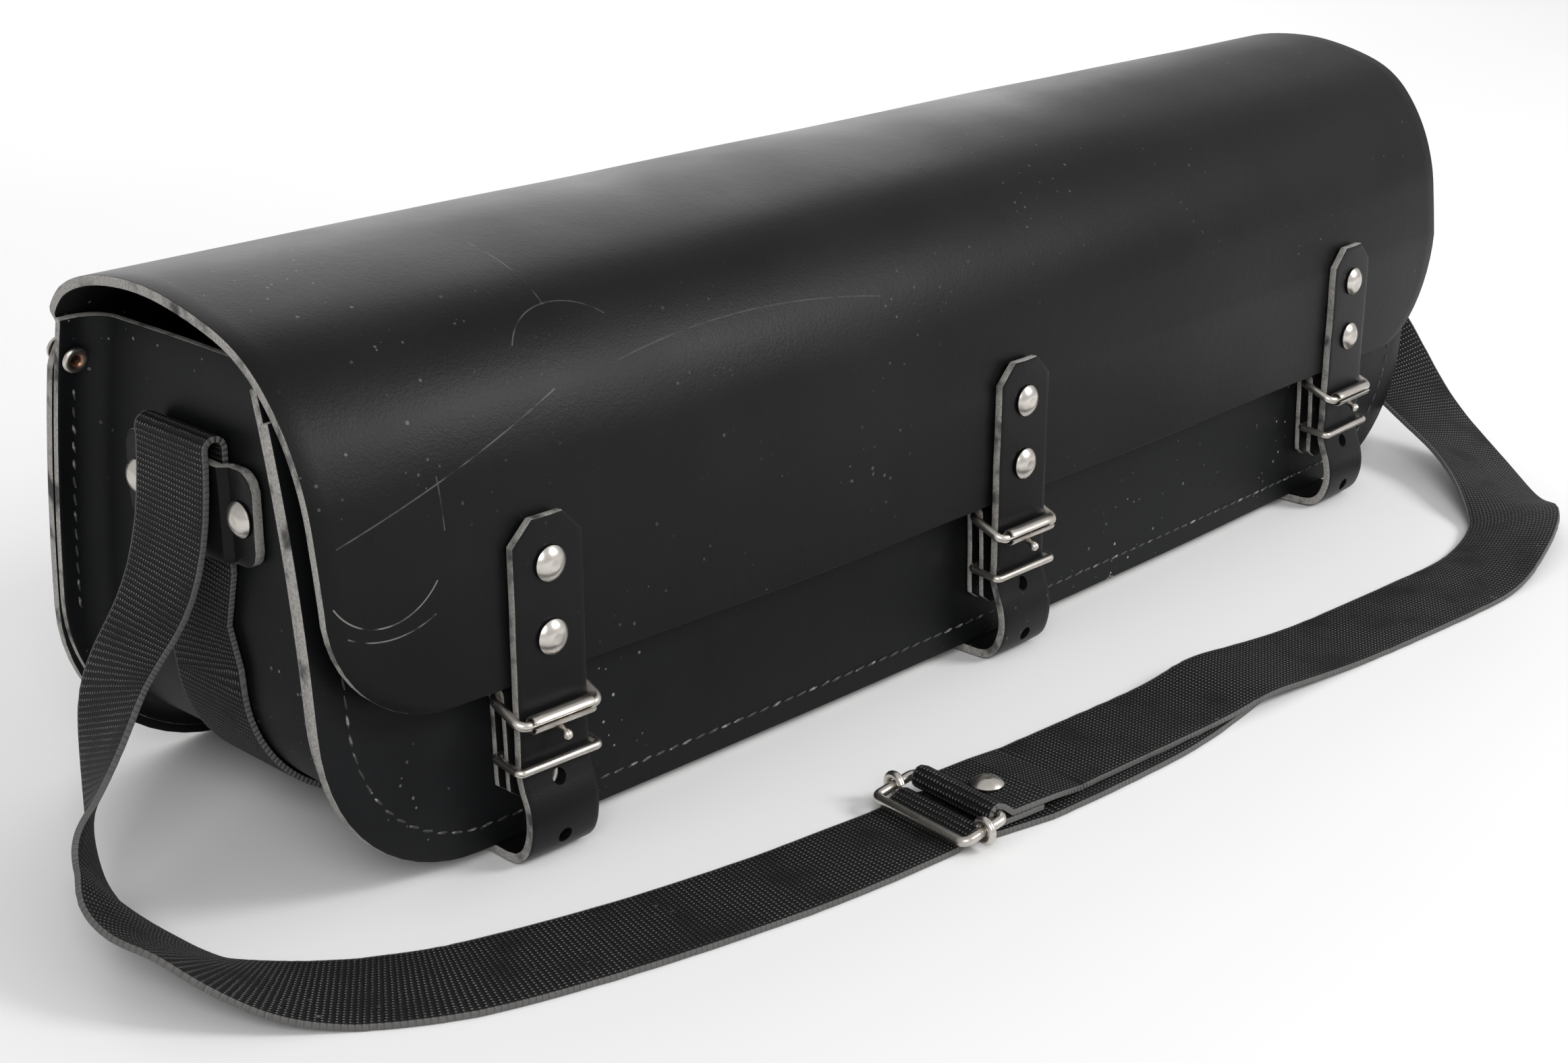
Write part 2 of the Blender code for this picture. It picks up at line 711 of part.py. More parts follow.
def ring_points(x, back, front, half, radius):
    """Rounded rectangle round a strap: back and front give y and z of its two bars."""
    back, front = Vector((x, *back)), Vector((x, *front))
    run = front - back
    along = run.normalized()
    across = Vector((1.0, 0.0, 0.0))
    points = []
    for side, end in ((1.0, 0.0), (1.0, 1.0), (-1.0, 1.0), (-1.0, 0.0)):
        reach = radius + (run.length - 2.0 * radius) * end
        middle = back + along * reach + across * side * (half - radius)
        away = along * (1.0 if end else -1.0)
        turns = [math.pi / 6.0 * step for step in range(4)]
        arc = [middle + radius * (across * side * math.cos(t) + away * math.sin(t)) for t in turns]
        points += arc if (side > 0.0) == (end > 0.0) else list(reversed(arc))
    return points


def buckle(name, x):
    hinge, roller = hinge_place(x), roller_place(x)
    half = STRAP_WIDTH / 2.0 + 2.0 * GAP + WIRE / 2.0
    wire(f"buckle_frame_{name}", ring_points(x, hinge, roller, half, WIRE), WIRE, True, "nickel")
    split_roller(name, x, roller)
    prong(name, x)


def split_roller(name, x, place):
    """A sheet metal tube with an open seam, round the buckle's front bar."""
    outside = ROLLER_DIAMETER / 2.0
    inside = outside - ROLLER_WALL
    half = STRAP_WIDTH / 2.0 - 1.5
    turns = [math.radians(20.0 + 332.0 * step / 12.0) for step in range(13)]
    outer, inner = [], []
    for turn in turns:
        spoke = Vector((0.0, -math.cos(turn), math.sin(turn)))
        middle = Vector((x, *place))
        outer.append([middle + spoke * outside + Vector((shift, 0.0, 0.0)) for shift in (-half, half)])
        inner.append([middle + spoke * inside + Vector((shift, 0.0, 0.0)) for shift in (-half, half)])
    wall(f"buckle_roller_{name}", outer, inner, "nickel")


def prong(name, x):
    """A wire with an eye round the hinge bar and a tip under the roller."""
    hinge = Vector((x, *hinge_place(x)))
    start, tip = prong_line(x)
    spoke = start - hinge
    along = (tip - start).normalized()
    points = []
    for step in range(8):
        turn = math.radians(270.0 - 270.0 * step / 7.0)
        points.append(hinge + spoke * math.cos(turn) - along * spoke.length * math.sin(turn))
    points += [start + (tip - start) * share for share in (0.35, 0.7, 1.0)]
    wire(f"buckle_prong_{name}", points, PRONG_WIRE, False, "nickel")


def keeper(name, x):
    """A wire loop between the chape's layers and round the strap."""
    back = front_face(x, KEEPER_HEIGHT) - 2.0 * GAP - CHAPE_LEATHER - WIRE / 2.0
    front = strap_line(x) - STRAP_LEATHER / 2.0 - 2.5 * GAP - KEEPER_WIRE / 2.0
    half = STRAP_WIDTH / 2.0 + 3.0 * GAP + KEEPER_WIRE / 2.0
    drop = KEEPER_WIRE / 2.0
    points = ring_points(x, (back, KEEPER_HEIGHT), (front, KEEPER_HEIGHT - drop), half, 0.6 * KEEPER_WIRE)
    wire(f"strap_keeper_{name}", points, KEEPER_WIRE, True, "nickel")


def closures():
    """Each closure is built square to the bag, then turned to lie along the bowed front."""
    for name, share in CLOSURES:
        x = share * CLOSURE_PITCH
        earlier = set(bpy.data.objects)
        closure_strap(name, x)
        chape(name, x)
        buckle(name, x)
        keeper(name, x)
        face = strap_line(x) - STRAP_LEATHER / 2.0
        grip = STRAP_LEATHER + GAP + LEATHER
        for place, z in zip(("upper", "lower"), closure_rivet_heights()):
            rivet(f"closure_rivet_{name}_{place}", (x, face, z), (0.0, -1.0, 0.0), grip)
        for place, z in zip(("upper", "lower"), CHAPE_RIVETS):
            front = chape_front(x, z) - CHAPE_LEATHER / 2.0
            through = front_face(x, z) + LEATHER - front
            spot, size = (x, front, z), (CHAPE_CAP_DIAMETER, CHAPE_CAP_HEIGHT)
            rivet(f"chape_rivet_{name}_{place}", spot, (0.0, -1.0, 0.0), through, *size)
        pivot = Vector((x, strap_line(x), 0.0)) * MM
        turn = Matrix.Rotation(math.atan(8.0 * FRONT_BOW * x / LENGTH**2 + RIGHT_SETBACK / LENGTH), 4, "Z")
        for piece in set(bpy.data.objects) - earlier:
            piece.data.transform(Matrix.Translation(pivot) @ turn @ Matrix.Translation(-pivot))


def bridge_rise():
    """How far a bridge's middle stands off the gusset to let the webbing pass."""
    return WEBBING_THICKNESS + 2.0 * GAP


def bridges():
    """Leather tabs across the ends, over the webbing."""
    clear = WEBBING_WIDTH / 2.0 + 2.0 * GAP
    half_length, half_height = BRIDGE_LENGTH / 2.0, BRIDGE_HEIGHT / 2.0
    rows = (
        # y, drawn in from the edge, stands off
        (-half_length, BRIDGE_CHAMFER, GAP),
        (-half_length + BRIDGE_CHAMFER * 0.4, BRIDGE_CHAMFER * 0.3, GAP),
        (-half_length + BRIDGE_CHAMFER, 0.0, GAP),
        (-clear - bridge_rise(), 0.0, GAP),
        (-clear, 0.0, bridge_rise()),
        (0.0, 0.0, bridge_rise() + GAP),
    )
    rows += tuple((-y, draw, rise) for y, draw, rise in reversed(rows[:-1]))
    for name, side in ENDS:
        outer, inner = [], []
        for y, draw, rise in rows:
            x = side * (gusset_half() + rise)
            z_span = [BRIDGE_MIDDLE - half_height + draw, BRIDGE_MIDDLE + half_height - draw]
            outer.append([Vector((x + side * LEATHER, y, z)) for z in z_span])
            inner.append([Vector((x, y, z)) for z in z_span])
        piece = wall(f"strap_bridge_{name}", outer, inner, "leather")
        holes = bmesh.new()
        for place, y in (("front", -BRIDGE_RIVET_PITCH / 2.0), ("back", BRIDGE_RIVET_PITCH / 2.0)):
            x = side * gusset_half()
            add_drill(
                holes,
                (x - side * LEATHER, y, BRIDGE_MIDDLE),
                (x + side * 3.0 * LEATHER, y, BRIDGE_MIDDLE),
                SHANK_DIAMETER / 2.0 + GAP,
            )
            face = (side * (gusset_half() + GAP + LEATHER), y, BRIDGE_MIDDLE)
            grip = LEATHER + GAP + GUSSET_LEATHER
            rivet(f"bridge_rivet_{name}_{place}", face, (side, 0.0, 0.0), grip)
        cut(piece, holes)


def table_rows(table):
    """Middles of the webbing and directions across it, smoothed."""
    middles, directions = [], []
    for x, y, z, turn, lift in table:
        turn, lift = math.radians(turn), math.radians(lift)
        level = math.cos(lift)
        rise = abs(math.sin(lift)) * WEBBING_WIDTH / 2.0 + level * WEBBING_THICKNESS / 2.0
        middles.append(Vector((LENGTH / 2.0 * x, DEPTH / 2.0 * y, SEAM_HEIGHT * z + rise)))
        directions.append(Vector((level * math.cos(turn), level * math.sin(turn), math.sin(lift))))
    return list(zip(smooth(middles, 2), smooth(directions, 2)))


def slider_spot(along, height, across=0.0):
    """A place given in the slider's own directions."""
    turn = math.radians(SLIDER_TURN)
    x = LENGTH / 2.0 * SLIDER_ALONG + along * math.cos(turn) - across * math.sin(turn)
    y = -DEPTH / 2.0 * SLIDER_FORWARD + along * math.sin(turn) + across * math.cos(turn)
    return Vector((x, y, height))


def slider_rows(spots):
    across = slider_spot(0.0, 0.0, 1.0) - slider_spot(0.0, 0.0)
    return [(slider_spot(along, height), across) for along, height in spots]


def loop_levels():
    """Heights of the middles of the loop's short layer and of the long one on it."""
    short = SLIDER_RIGHT_HEIGHT - (SLIDER_WIRE + WEBBING_THICKNESS) / 2.0 - 3.0 * GAP
    return short, short + WEBBING_THICKNESS + GAP


def loop_rows():
    """The webbing's end: a loop round the slider's right bar, its short layer below."""
    radius = (SLIDER_WIRE + WEBBING_THICKNESS) / 2.0 + GAP
    bar, height = SLIDER_PITCH / 2.0, SLIDER_RIGHT_HEIGHT
    short, long = loop_levels()
    rows = [(LOOP_LENGTH, short), (LOOP_RIVET, short), (bar + radius, short), (bar, height - radius)]
    for step in range(6):
        turn = math.radians(-120.0 - 30.0 * step)
        rows.append((bar + radius * math.cos(turn), height + radius * math.sin(turn)))
    flat = LOOP_RIVET - CAP_DIAMETER / 2.0
    rows += [(bar + radius * 0.9, height + radius * 0.62), (flat, long), (LOOP_RIVET, long)]
    return slider_rows(rows + [(LOOP_LENGTH + 3.0, long)])


def slider_pass_rows():
    """Under the slider's left bar, over its middle bar and down under the loop."""
    under = WEBBING_THICKNESS / 2.0 + GAP
    over = slider_bar_height() + (SLIDER_BAR_WIRE + WEBBING_THICKNESS) / 2.0 + GAP
    edge = SLIDER_PITCH / 2.0
    return slider_rows(
        [
            (-edge * 1.6, under),
            (-edge * 0.95, under + GAP),
            (-edge * 0.35, under + (over - under) * 0.75),
            (0.0, over),
            (edge * 0.3, under + (over - under) * 0.8),
            (edge * 0.8, under + (over - under) * 0.15),
            (edge * 1.4, under),
        ]
    )


def wall_rows(side):
    """Down an end of the bag, close against the gusset, from its bridge to the base."""
    x = side * (gusset_half() + GAP + WEBBING_THICKNESS / 2.0)
    return [
        (Vector((x, DEPTH / 2.0 * y, BRIDGE_MIDDLE * z)), Vector((0.0, 1.0, 0.0))) for y, z in WALL_RUN
    ]


def base_rows():
    """Round the lower corners and under the base, from the right end to the left."""
    radius = CORNER_RADIUS - END_FLANGE + GAP + WEBBING_THICKNESS / 2.0
    centre = gusset_half() - (CORNER_RADIUS - END_FLANGE)
    height = gusset_base() + CORNER_RADIUS - END_FLANGE
    arc = []
    for step in range(7):
        turn = math.pi / 2.0 * step / 6.0
        arc.append((centre + radius * math.cos(turn), height - radius * math.sin(turn)))
    spots = arc + [(0.0, height - radius)] + [(-x, z) for x, z in reversed(arc)]
    return [(Vector((x, 0.0, z)), Vector((0.0, 1.0, 0.0))) for x, z in spots]


def fold_rows(side):
    """Over the top of a bridge, from outside it to the gusset."""
    inside = gusset_half() + GAP + WEBBING_THICKNESS / 2.0
    outside = gusset_half() + bridge_rise() + 4.0 * GAP + LEATHER + WEBBING_THICKNESS / 2.0
    radius = (outside - inside) / 2.0
    top = BRIDGE_MIDDLE + BRIDGE_HEIGHT / 2.0
    rows = [(outside, top - BRIDGE_HEIGHT * share) for share in (1.2, 0.5, 0.0)]
    for step in range(7):
        turn = math.pi * step / 6.0
        across = inside + radius + radius * math.cos(turn)
        rows.append((across, top + FOLD_RISE - radius + radius * math.sin(turn)))
    rows.append((inside, top))
    return [(Vector((side * x, 0.0, z)), Vector((0.0, 1.0, 0.0))) for x, z in rows]


def band_rows():
    """The whole webbing, from its riveted loop round the bag to its free tail."""
    rows = loop_rows() + table_rows(RIGHT_RUN) + fold_rows(1.0) + wall_rows(1.0) + base_rows()
    rows += list(reversed(wall_rows(-1.0))) + list(reversed(fold_rows(-1.0))) + table_rows(LEFT_RUN)
    return rows + slider_pass_rows() + table_rows(TAIL_RUN)


def carrying_strap():
    rows = band_rows()
    outer, inner = [], []
    for index, (middle, across) in enumerate(rows):
        along = (rows[min(index + 1, len(rows) - 1)][0] - rows[max(index - 1, 0)][0]).normalized()
        across = (across - along * across.dot(along)).normalized()
        face = along.cross(across) * (WEBBING_THICKNESS / 2.0)
        half = across * (WEBBING_WIDTH / 2.0)
        lowest = GAP + abs(half.z) + abs(face.z)
        centre = Vector((middle.x, middle.y, max(middle.z, lowest)))
        outer.append([centre + face - half, centre + face + half])
        inner.append([centre - face - half, centre - face + half])
    piece = wall("carrying_strap", outer, inner, "webbing")
    holes = bmesh.new()
    short, long = loop_levels()
    low, high = slider_spot(LOOP_RIVET, short), slider_spot(LOOP_RIVET, long)
    reach = Vector((0.0, 0.0, WEBBING_THICKNESS * 0.65))
    add_drill(holes, low - reach, high + reach, SHANK_DIAMETER / 2.0 + GAP)
    cut(piece, holes)


def slider_bar_height():
    """The middle bar passes just under the frame's short sides."""
    frame = (SLIDER_LEFT_HEIGHT + SLIDER_RIGHT_HEIGHT) / 2.0
    return frame - (SLIDER_WIRE + SLIDER_BAR_WIRE) / 2.0 - GAP


def slider():
    half = WEBBING_WIDTH / 2.0 + 3.0 * GAP + SLIDER_WIRE / 2.0
    radius = SLIDER_WIRE * 0.75
    rise = (SLIDER_RIGHT_HEIGHT - SLIDER_LEFT_HEIGHT) / SLIDER_PITCH
    middle_height = (SLIDER_LEFT_HEIGHT + SLIDER_RIGHT_HEIGHT) / 2.0
    edge = SLIDER_PITCH / 2.0
    points = []
    for along_side, across_side in ((1.0, 1.0), (-1.0, 1.0), (-1.0, -1.0), (1.0, -1.0)):
        arc = []
        for step in range(4):
            turn = math.pi / 6.0 * step
            along = along_side * (edge - radius + radius * math.cos(turn))
            across = across_side * (half - radius + radius * math.sin(turn))
            arc.append(slider_spot(along, middle_height + rise * along, across))
        points += arc if along_side * across_side > 0.0 else list(reversed(arc))
    wire("slider_frame", points, SLIDER_WIRE, True, "nickel")
    hook = (SLIDER_WIRE + SLIDER_BAR_WIRE) / 2.0 + GAP
    turns = [math.radians(-90.0 + 36.0 * step) for step in range(8)]
    right = [(half + hook * math.cos(turn), middle_height + hook * math.sin(turn)) for turn in turns]
    line = [(-across, height) for across, height in reversed(right)] + right
    bar = [slider_spot(0.0, height, across) for across, height in line]
    wire("slider_bar", bar, SLIDER_BAR_WIRE, False, "nickel")


def webbing_rivet():
    short, long = loop_levels()
    foot = slider_spot(LOOP_RIVET, long + WEBBING_THICKNESS / 2.0)
    grip = long - short + WEBBING_THICKNESS
    cap, burr, shank = CAP_DIAMETER / 2.0, BURR_DIAMETER / 2.0, SHANK_DIAMETER / 2.0
    rings = (
        (burr, -grip - 2.5 * GAP),
        (burr, -grip - GAP),
        (shank, -grip - GAP),
        (shank, GAP),
        (cap, GAP),
        (cap, GAP + CAP_HEIGHT * 0.3),
        (cap * 0.78, GAP + CAP_HEIGHT * 0.75),
        (0.0, GAP + CAP_HEIGHT),
    )
    turned("webbing_rivet", rings, foot, (0.0, 0.0, 1.0), "nickel")


def centre():
    """Moves everything so that the origin is on the floor, below the middle of the bag and its strap."""
    everything = [item for item in bpy.data.objects if item.type in ("MESH", "CURVE")]
    solids = [item for item in everything if item.type == "MESH" and not item.hide_render]
    spots = [vertex.co for solid in solids for vertex in solid.data.vertices]
    middle_x = (min(spot.x for spot in spots) + max(spot.x for spot in spots)) / 2.0
    middle_y = (min(spot.y for spot in spots) + max(spot.y for spot in spots)) / 2.0
    for item in everything:
        item.data.transform(Matrix.Translation((-middle_x, -middle_y, 0.0)))


def main():
    for old in list(bpy.data.objects):
        bpy.data.objects.remove(old, do_unlink=True)
    bpy.context.scene.unit_settings.system = "METRIC"
    back_and_flap()
    front_panel()
    gusset()
    tube_rivets()
    closures()
    bridges()
    carrying_strap()
    slider()
    webbing_rivet()
    centre()


main()
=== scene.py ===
"""The long leather tool bag as it looks: smooth black leather with raw edges, ribbed webbing and nickel
fittings, on a pale studio floor. Sizes are in millimetres and become metres where a mesh is made."""

import math

import bpy
from mathutils import Matrix, Vector, noise


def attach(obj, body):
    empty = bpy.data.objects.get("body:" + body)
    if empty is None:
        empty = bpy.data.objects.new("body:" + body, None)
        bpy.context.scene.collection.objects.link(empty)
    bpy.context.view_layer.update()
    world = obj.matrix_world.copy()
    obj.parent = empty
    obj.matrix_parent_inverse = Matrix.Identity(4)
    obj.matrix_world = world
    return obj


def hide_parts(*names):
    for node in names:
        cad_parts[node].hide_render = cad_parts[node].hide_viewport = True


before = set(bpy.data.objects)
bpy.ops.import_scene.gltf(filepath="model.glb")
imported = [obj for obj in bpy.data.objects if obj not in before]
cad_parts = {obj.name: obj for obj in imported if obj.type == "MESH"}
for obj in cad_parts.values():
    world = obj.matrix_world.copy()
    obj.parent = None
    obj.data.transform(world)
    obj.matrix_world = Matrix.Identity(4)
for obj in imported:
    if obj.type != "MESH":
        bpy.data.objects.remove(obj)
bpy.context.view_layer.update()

MM = 0.001
GAP = 0.3  # between pieces that touch
# The bag is made about its own middle, then moved so that the middle of bag and strap is the origin
SHIFT = Vector((0.017166, 0.054371, 0.0))

# The leather body
LENGTH = 560.0
DEPTH = 132.0
SEAM_HEIGHT = 150.0
CROWN_HEIGHT = SEAM_HEIGHT + 19.0
TOP_LEAN = 16.0
LEAN_POWER = 2.5
FRONT_BOW = 6.0
END_FULLNESS = 4.5
RIGHT_SETBACK = 12.0
CORNER_RADIUS = 58.0
LEATHER = 3.0
FRONT_LIFT = 3.4
FRONT_TOP = 0.95
FLAP_EDGE = 56.0
FLAP_RADIUS = 40.0
FLAP_STAND_OFF = 10.0
SEAM_NOTCH = 3.0
GUSSET_LEATHER = 2.5
END_FLANGE = 13.0
BASE_FLANGE = 5.6
GUSSET_HALF = LENGTH / 2.0 - END_FLANGE
GUSSET_BASE = FRONT_LIFT + BASE_FLANGE
FRONT_BEND = 7.0
BACK_BEND = 8.0
STITCH_INSET = 11.0
FLANGE_STITCH_INSET = 5.5
STITCH_PITCH = 5.6

# The straps and the fittings
STRAP_WIDTH = 25.0
STRAP_LEATHER = 3.0
STRAP_TOP = 105.0
STRAP_CHAMFER = 7.0
CLOSURE_PITCH = 208.0
RIVET_PITCH = 22.0
RIVET_INSET = 14.0
HOLE_PITCH = 18.0
HOLE_RADIUS = 2.4
CHAPE_LEATHER = 2.0
CHAPE_BOTTOM = 20.0
CHAPE_RIVETS = (38.8, 24.6)
CHAPE_SLOT = 5.0
WIRE = 3.0
KEEPER_WIRE = 2.6
KEEPER_HEIGHT = 33.0
ROLLER_DIAMETER = 5.4
ROLLER_WALL = 0.7
ROLLER_HEIGHT = 46.0
PRONG_WIRE = 2.2
CAP_DIAMETER = 10.5
CAP_HEIGHT = 2.6
CHAPE_CAP_DIAMETER = 9.0
CHAPE_CAP_HEIGHT = 1.8
SHANK_DIAMETER = 3.0
BURR_DIAMETER = 8.0
BURR_THICKNESS = 1.0
TUBE_RIVET_DIAMETER = 8.0
TUBE_RIVET_BORE = 3.0
TUBE_RIVET_HEIGHT = SEAM_HEIGHT - 11.0

# The webbing, its bridges and its slider
WEBBING_WIDTH = 34.0
WEBBING_THICKNESS = 1.8
BRIDGE_LENGTH = 63.0
BRIDGE_HEIGHT = 28.0
BRIDGE_MIDDLE = 106.0
BRIDGE_RIVET_PITCH = 51.0
BRIDGE_CHAMFER = 6.0
BRIDGE_RISE = WEBBING_THICKNESS + 2.0 * GAP
FOLD_RISE = 7.0
SLIDER_ALONG = -0.418
SLIDER_FORWARD = 2.212
SLIDER_TURN = -6.0
SLIDER_WIRE = 3.2
SLIDER_PITCH = 16.0
SLIDER_BAR_WIRE = 2.6
SLIDER_LEFT_HEIGHT = 4.8
SLIDER_RIGHT_HEIGHT = 7.8
LOOP_RIVET = 19.5
LOOP_LENGTH = 27.0
RIB_PITCH = 1.7
THREAD_ROW_PITCH = 1.3

# The photo's viewpoint: in metres, degrees, and millimetres for a 36 mm sensor
CAMERA_PLACE = (-0.6270, -0.5841, 0.3437)
CAMERA_DOWN = 20.48
CAMERA_TURN = 45.44
CAMERA_LENS = 58.09

CLOSURES = (("left", -1.0), ("middle", 0.0), ("right", 1.0))
ENDS = (("left", -1.0), ("right", 1.0))
# The sheet over the top: y as a share of half DEPTH, height as a share of CROWN_HEIGHT
CROWN = (
    (0.74, 0.908), (0.61, 0.957), (0.38, 0.988), (0.08, 1.0), (-0.21, 0.992), (-0.53, 0.965),
    (-0.73, 0.929), (-0.88, 0.876), (-1.00, 0.808), (-1.08, 0.730), (-1.12, 0.650),
)
# Closure strap below the flap: forward of its line as a share of FLAP_STAND_OFF, height as one of FLAP_EDGE
STRAP_RUN = (
    (0.0, 0.98), (0.0, 0.80), (0.0, 0.66), (0.0, 0.54), (0.14, 0.45), (0.33, 0.36),
    (0.41, 0.27), (0.36, 0.18), (0.18, 0.10), (-0.15, 0.048), (-0.55, 0.030), (-0.95, 0.0288),
    (-1.70, 0.0288),
)
# The webbing's way: x, y and height as shares of half LENGTH, half DEPTH and SEAM_HEIGHT, then how it is
# turned and lifted, in degrees
RIGHT_RUN = (
    (-0.26, -2.23, 0.016, 88, 1), (-0.14, -2.25, 0.016, 88, 1), (0.00, -2.27, 0.016, 90, 1),
    (0.08, -2.28, 0.027, 90, 3), (0.17, -2.30, 0.014, 90, 2), (0.29, -2.33, 0.002, 90, 1),
    (0.44, -2.37, 0.002, 90, 2), (0.59, -2.39, 0.002, 90, 2), (0.686, -2.32, 0.002, 102, -8),
    (0.765, -2.22, 0.006, 130, -14), (0.825, -2.08, 0.020, 158, -8), (0.882, -1.85, 0.016, 162, 8),
    (0.968, -1.44, 0.035, 160, 10), (1.021, -0.94, 0.120, 150, 6), (1.046, -0.58, 0.240, 134, 0),
    (1.034, -0.26, 0.385, 110, -4), (1.004, -0.05, 0.500, 93, -2),
)
LEFT_RUN = (
    (-1.012, 0.03, 0.490, 90, -4), (-1.058, 0.02, 0.385, 90, -9), (-1.088, -0.05, 0.290, 84, -15),
    (-1.118, -0.13, 0.175, 68, -20), (-1.139, -0.21, 0.100, 56, -24), (-1.154, -0.34, 0.048, 52, -26),
    (-1.162, -0.56, 0.006, 48, -24), (-1.168, -0.80, 0.002, 48, -24), (-1.160, -1.02, 0.002, 52, -24),
    (-1.142, -1.19, 0.002, 48, -17), (-1.106, -1.38, 0.002, 46, -6), (-1.062, -1.54, 0.002, 54, 0),
    (-1.014, -1.69, 0.002, 66, 1), (-0.946, -1.83, 0.002, 74, 2), (-0.793, -2.00, 0.002, 82, 1),
    (-0.640, -2.12, 0.002, 84, 1), (-0.540, -2.17, 0.002, 84, 1),
)
TAIL_RUN = (
    (-0.31, -2.29, 0.002, 86, 0), (-0.20, -2.31, 0.002, 88, 0), (-0.08, -2.31, 0.002, 90, 0),
    (0.02, -2.26, 0.002, 90, 0), (0.075, -2.22, 0.002, 90, 0), (0.105, -2.21, 0.002, 90, 0),
)
# The webbing inside a bridge: y as a share of half DEPTH, height as one of BRIDGE_MIDDLE
WALL_RUN = ((0.0, 1.00), (0.0, 0.84), (0.07, 0.66))

# Scratches on the flap: arcs on its flat sheet, in metres and radians
SCRATCHES = (
    # centre, radius, from, to, strength
    ((0.020, 0.3180, 0.0), 0.020, 0.6, 2.6, 0.5),
    ((0.022, 0.3120, 0.0), 0.030, 1.1, 2.1, 0.4),
    ((-0.1316, -0.2586, 0.0), 0.588, 1.19, 1.334, 0.22),
    ((-0.403, 0.2450, 0.0), 0.500, -0.035, 0.035, 0.16),
    ((0.098, 0.2840, 0.0), 0.022, -2.6, -0.7, 0.18),
    ((-0.259, 0.3090, 0.0), 0.300, -0.025, 0.025, 0.14),
    ((0.160, 0.5600, 0.0), 0.280, -1.75, -1.35, 0.1),
)

LIGHTS = (
    # name, place, aim, size, strength
    ("softbox_behind", (0.9, 1.5, 0.95), (0.0, 0.0, 0.15), 1.8, 16.0),
    ("softbox_front", (-1.5, -1.6, 1.5), (-0.05, -0.05, 0.08), 1.2, 24.0),
    ("softbox_glint", (0.95, -1.4, 1.1), (-0.15, -0.05, 0.1), 0.6, 22.0),
)


# Shader effects that more than one finish uses


def feed(tree, node, values):
    """Sets inputs of a node to plain values, or links them to the outputs that drive them."""
    for label, value in values:
        if isinstance(value, bpy.types.NodeSocket):
            tree.links.new(value, node.inputs[label])
        else:
            node.inputs[label].default_value = value


def new_group(name, places, numbers, results):
    group = bpy.data.node_groups.new(name, "ShaderNodeTree")
    sockets = [(label, "INPUT", "NodeSocketVector") for label in places]
    sockets += [(label, "INPUT", "NodeSocketFloat") for label in numbers]
    sockets += [(label, "OUTPUT", "NodeSocketFloat") for label in results]
    for label, way, kind in sockets:
        group.interface.new_socket(label, in_out=way, socket_type=kind)
    return group, group.nodes.new("NodeGroupInput").outputs, group.nodes.new("NodeGroupOutput")


def add(tree, kind, values=(), **settings):
    node = tree.nodes.new(kind)
    for label, setting in settings.items():
        setattr(node, label, setting)
    feed(tree, node, values)
    return node


def maths(tree, operation, *values):
    return add(tree, "ShaderNodeMath", enumerate(values), operation=operation).outputs[0]


def product(tree, *values):
    total = values[0]
    for value in values[1:]:
        total = maths(tree, "MULTIPLY", total, value)
    return total


def clouds(tree, place, scale, detail=2.0):
    """Soft noise from 0 to 1."""
    values = [("Vector", place), ("Scale", scale), ("Detail", detail)]
    return add(tree, "ShaderNodeTexNoise", values).outputs["Fac"]


def band(tree, value, low, high):
    """0 below low, 1 above high, smooth between."""
    values = [("Value", value), ("From Min", low), ("From Max", high)]
    return add(tree, "ShaderNodeMapRange", values, interpolation_type="SMOOTHSTEP").outputs["Result"]


def mix_colours(tree, share, first, second):
    values = [(0, share), (6, first), (7, second)]
    return add(tree, "ShaderNodeMix", values, data_type="RGBA").outputs[2]


def grain_group():
    """Fine pebbled grain of pressed leather: height and soft patches."""
    group, given, end = new_group("leather_grain", ["Place"], [], ["Height", "Patches"])
    place = given["Place"]
    cells = add(group, "ShaderNodeTexVoronoi", [("Vector", place), ("Scale", 900.0)])
    pores, creases = clouds(group, place, 2600.0), clouds(group, place, 190.0, 5.0)
    height = maths(group, "MULTIPLY_ADD", cells.outputs["Distance"], 0.5, pores)
    height = maths(group, "MULTIPLY_ADD", creases, 1.2, height)
    feed(group, end, [("Height", height), ("Patches", clouds(group, place, 14.0, 4.0))])
    return group


def dust_group():
    """Small pale specks and lint."""
    group, given, end = new_group("dust", ["Place"], ["Amount"], ["Mask"])
    place = given["Place"]
    specks = add(group, "ShaderNodeTexVoronoi", [("Vector", place), ("Scale", 260.0), ("Randomness", 1.0)])
    size = add(group, "ShaderNodeTexWhiteNoise", [("Vector", specks.outputs["Position"])]).outputs["Value"]
    near = maths(group, "LESS_THAN", specks.outputs["Distance"], product(group, size, 0.16))
    where = band(group, clouds(group, place, 16.0, 3.0), 0.5, 0.72)
    feed(group, end, [("Mask", product(group, near, where, given["Amount"]))])
    return group


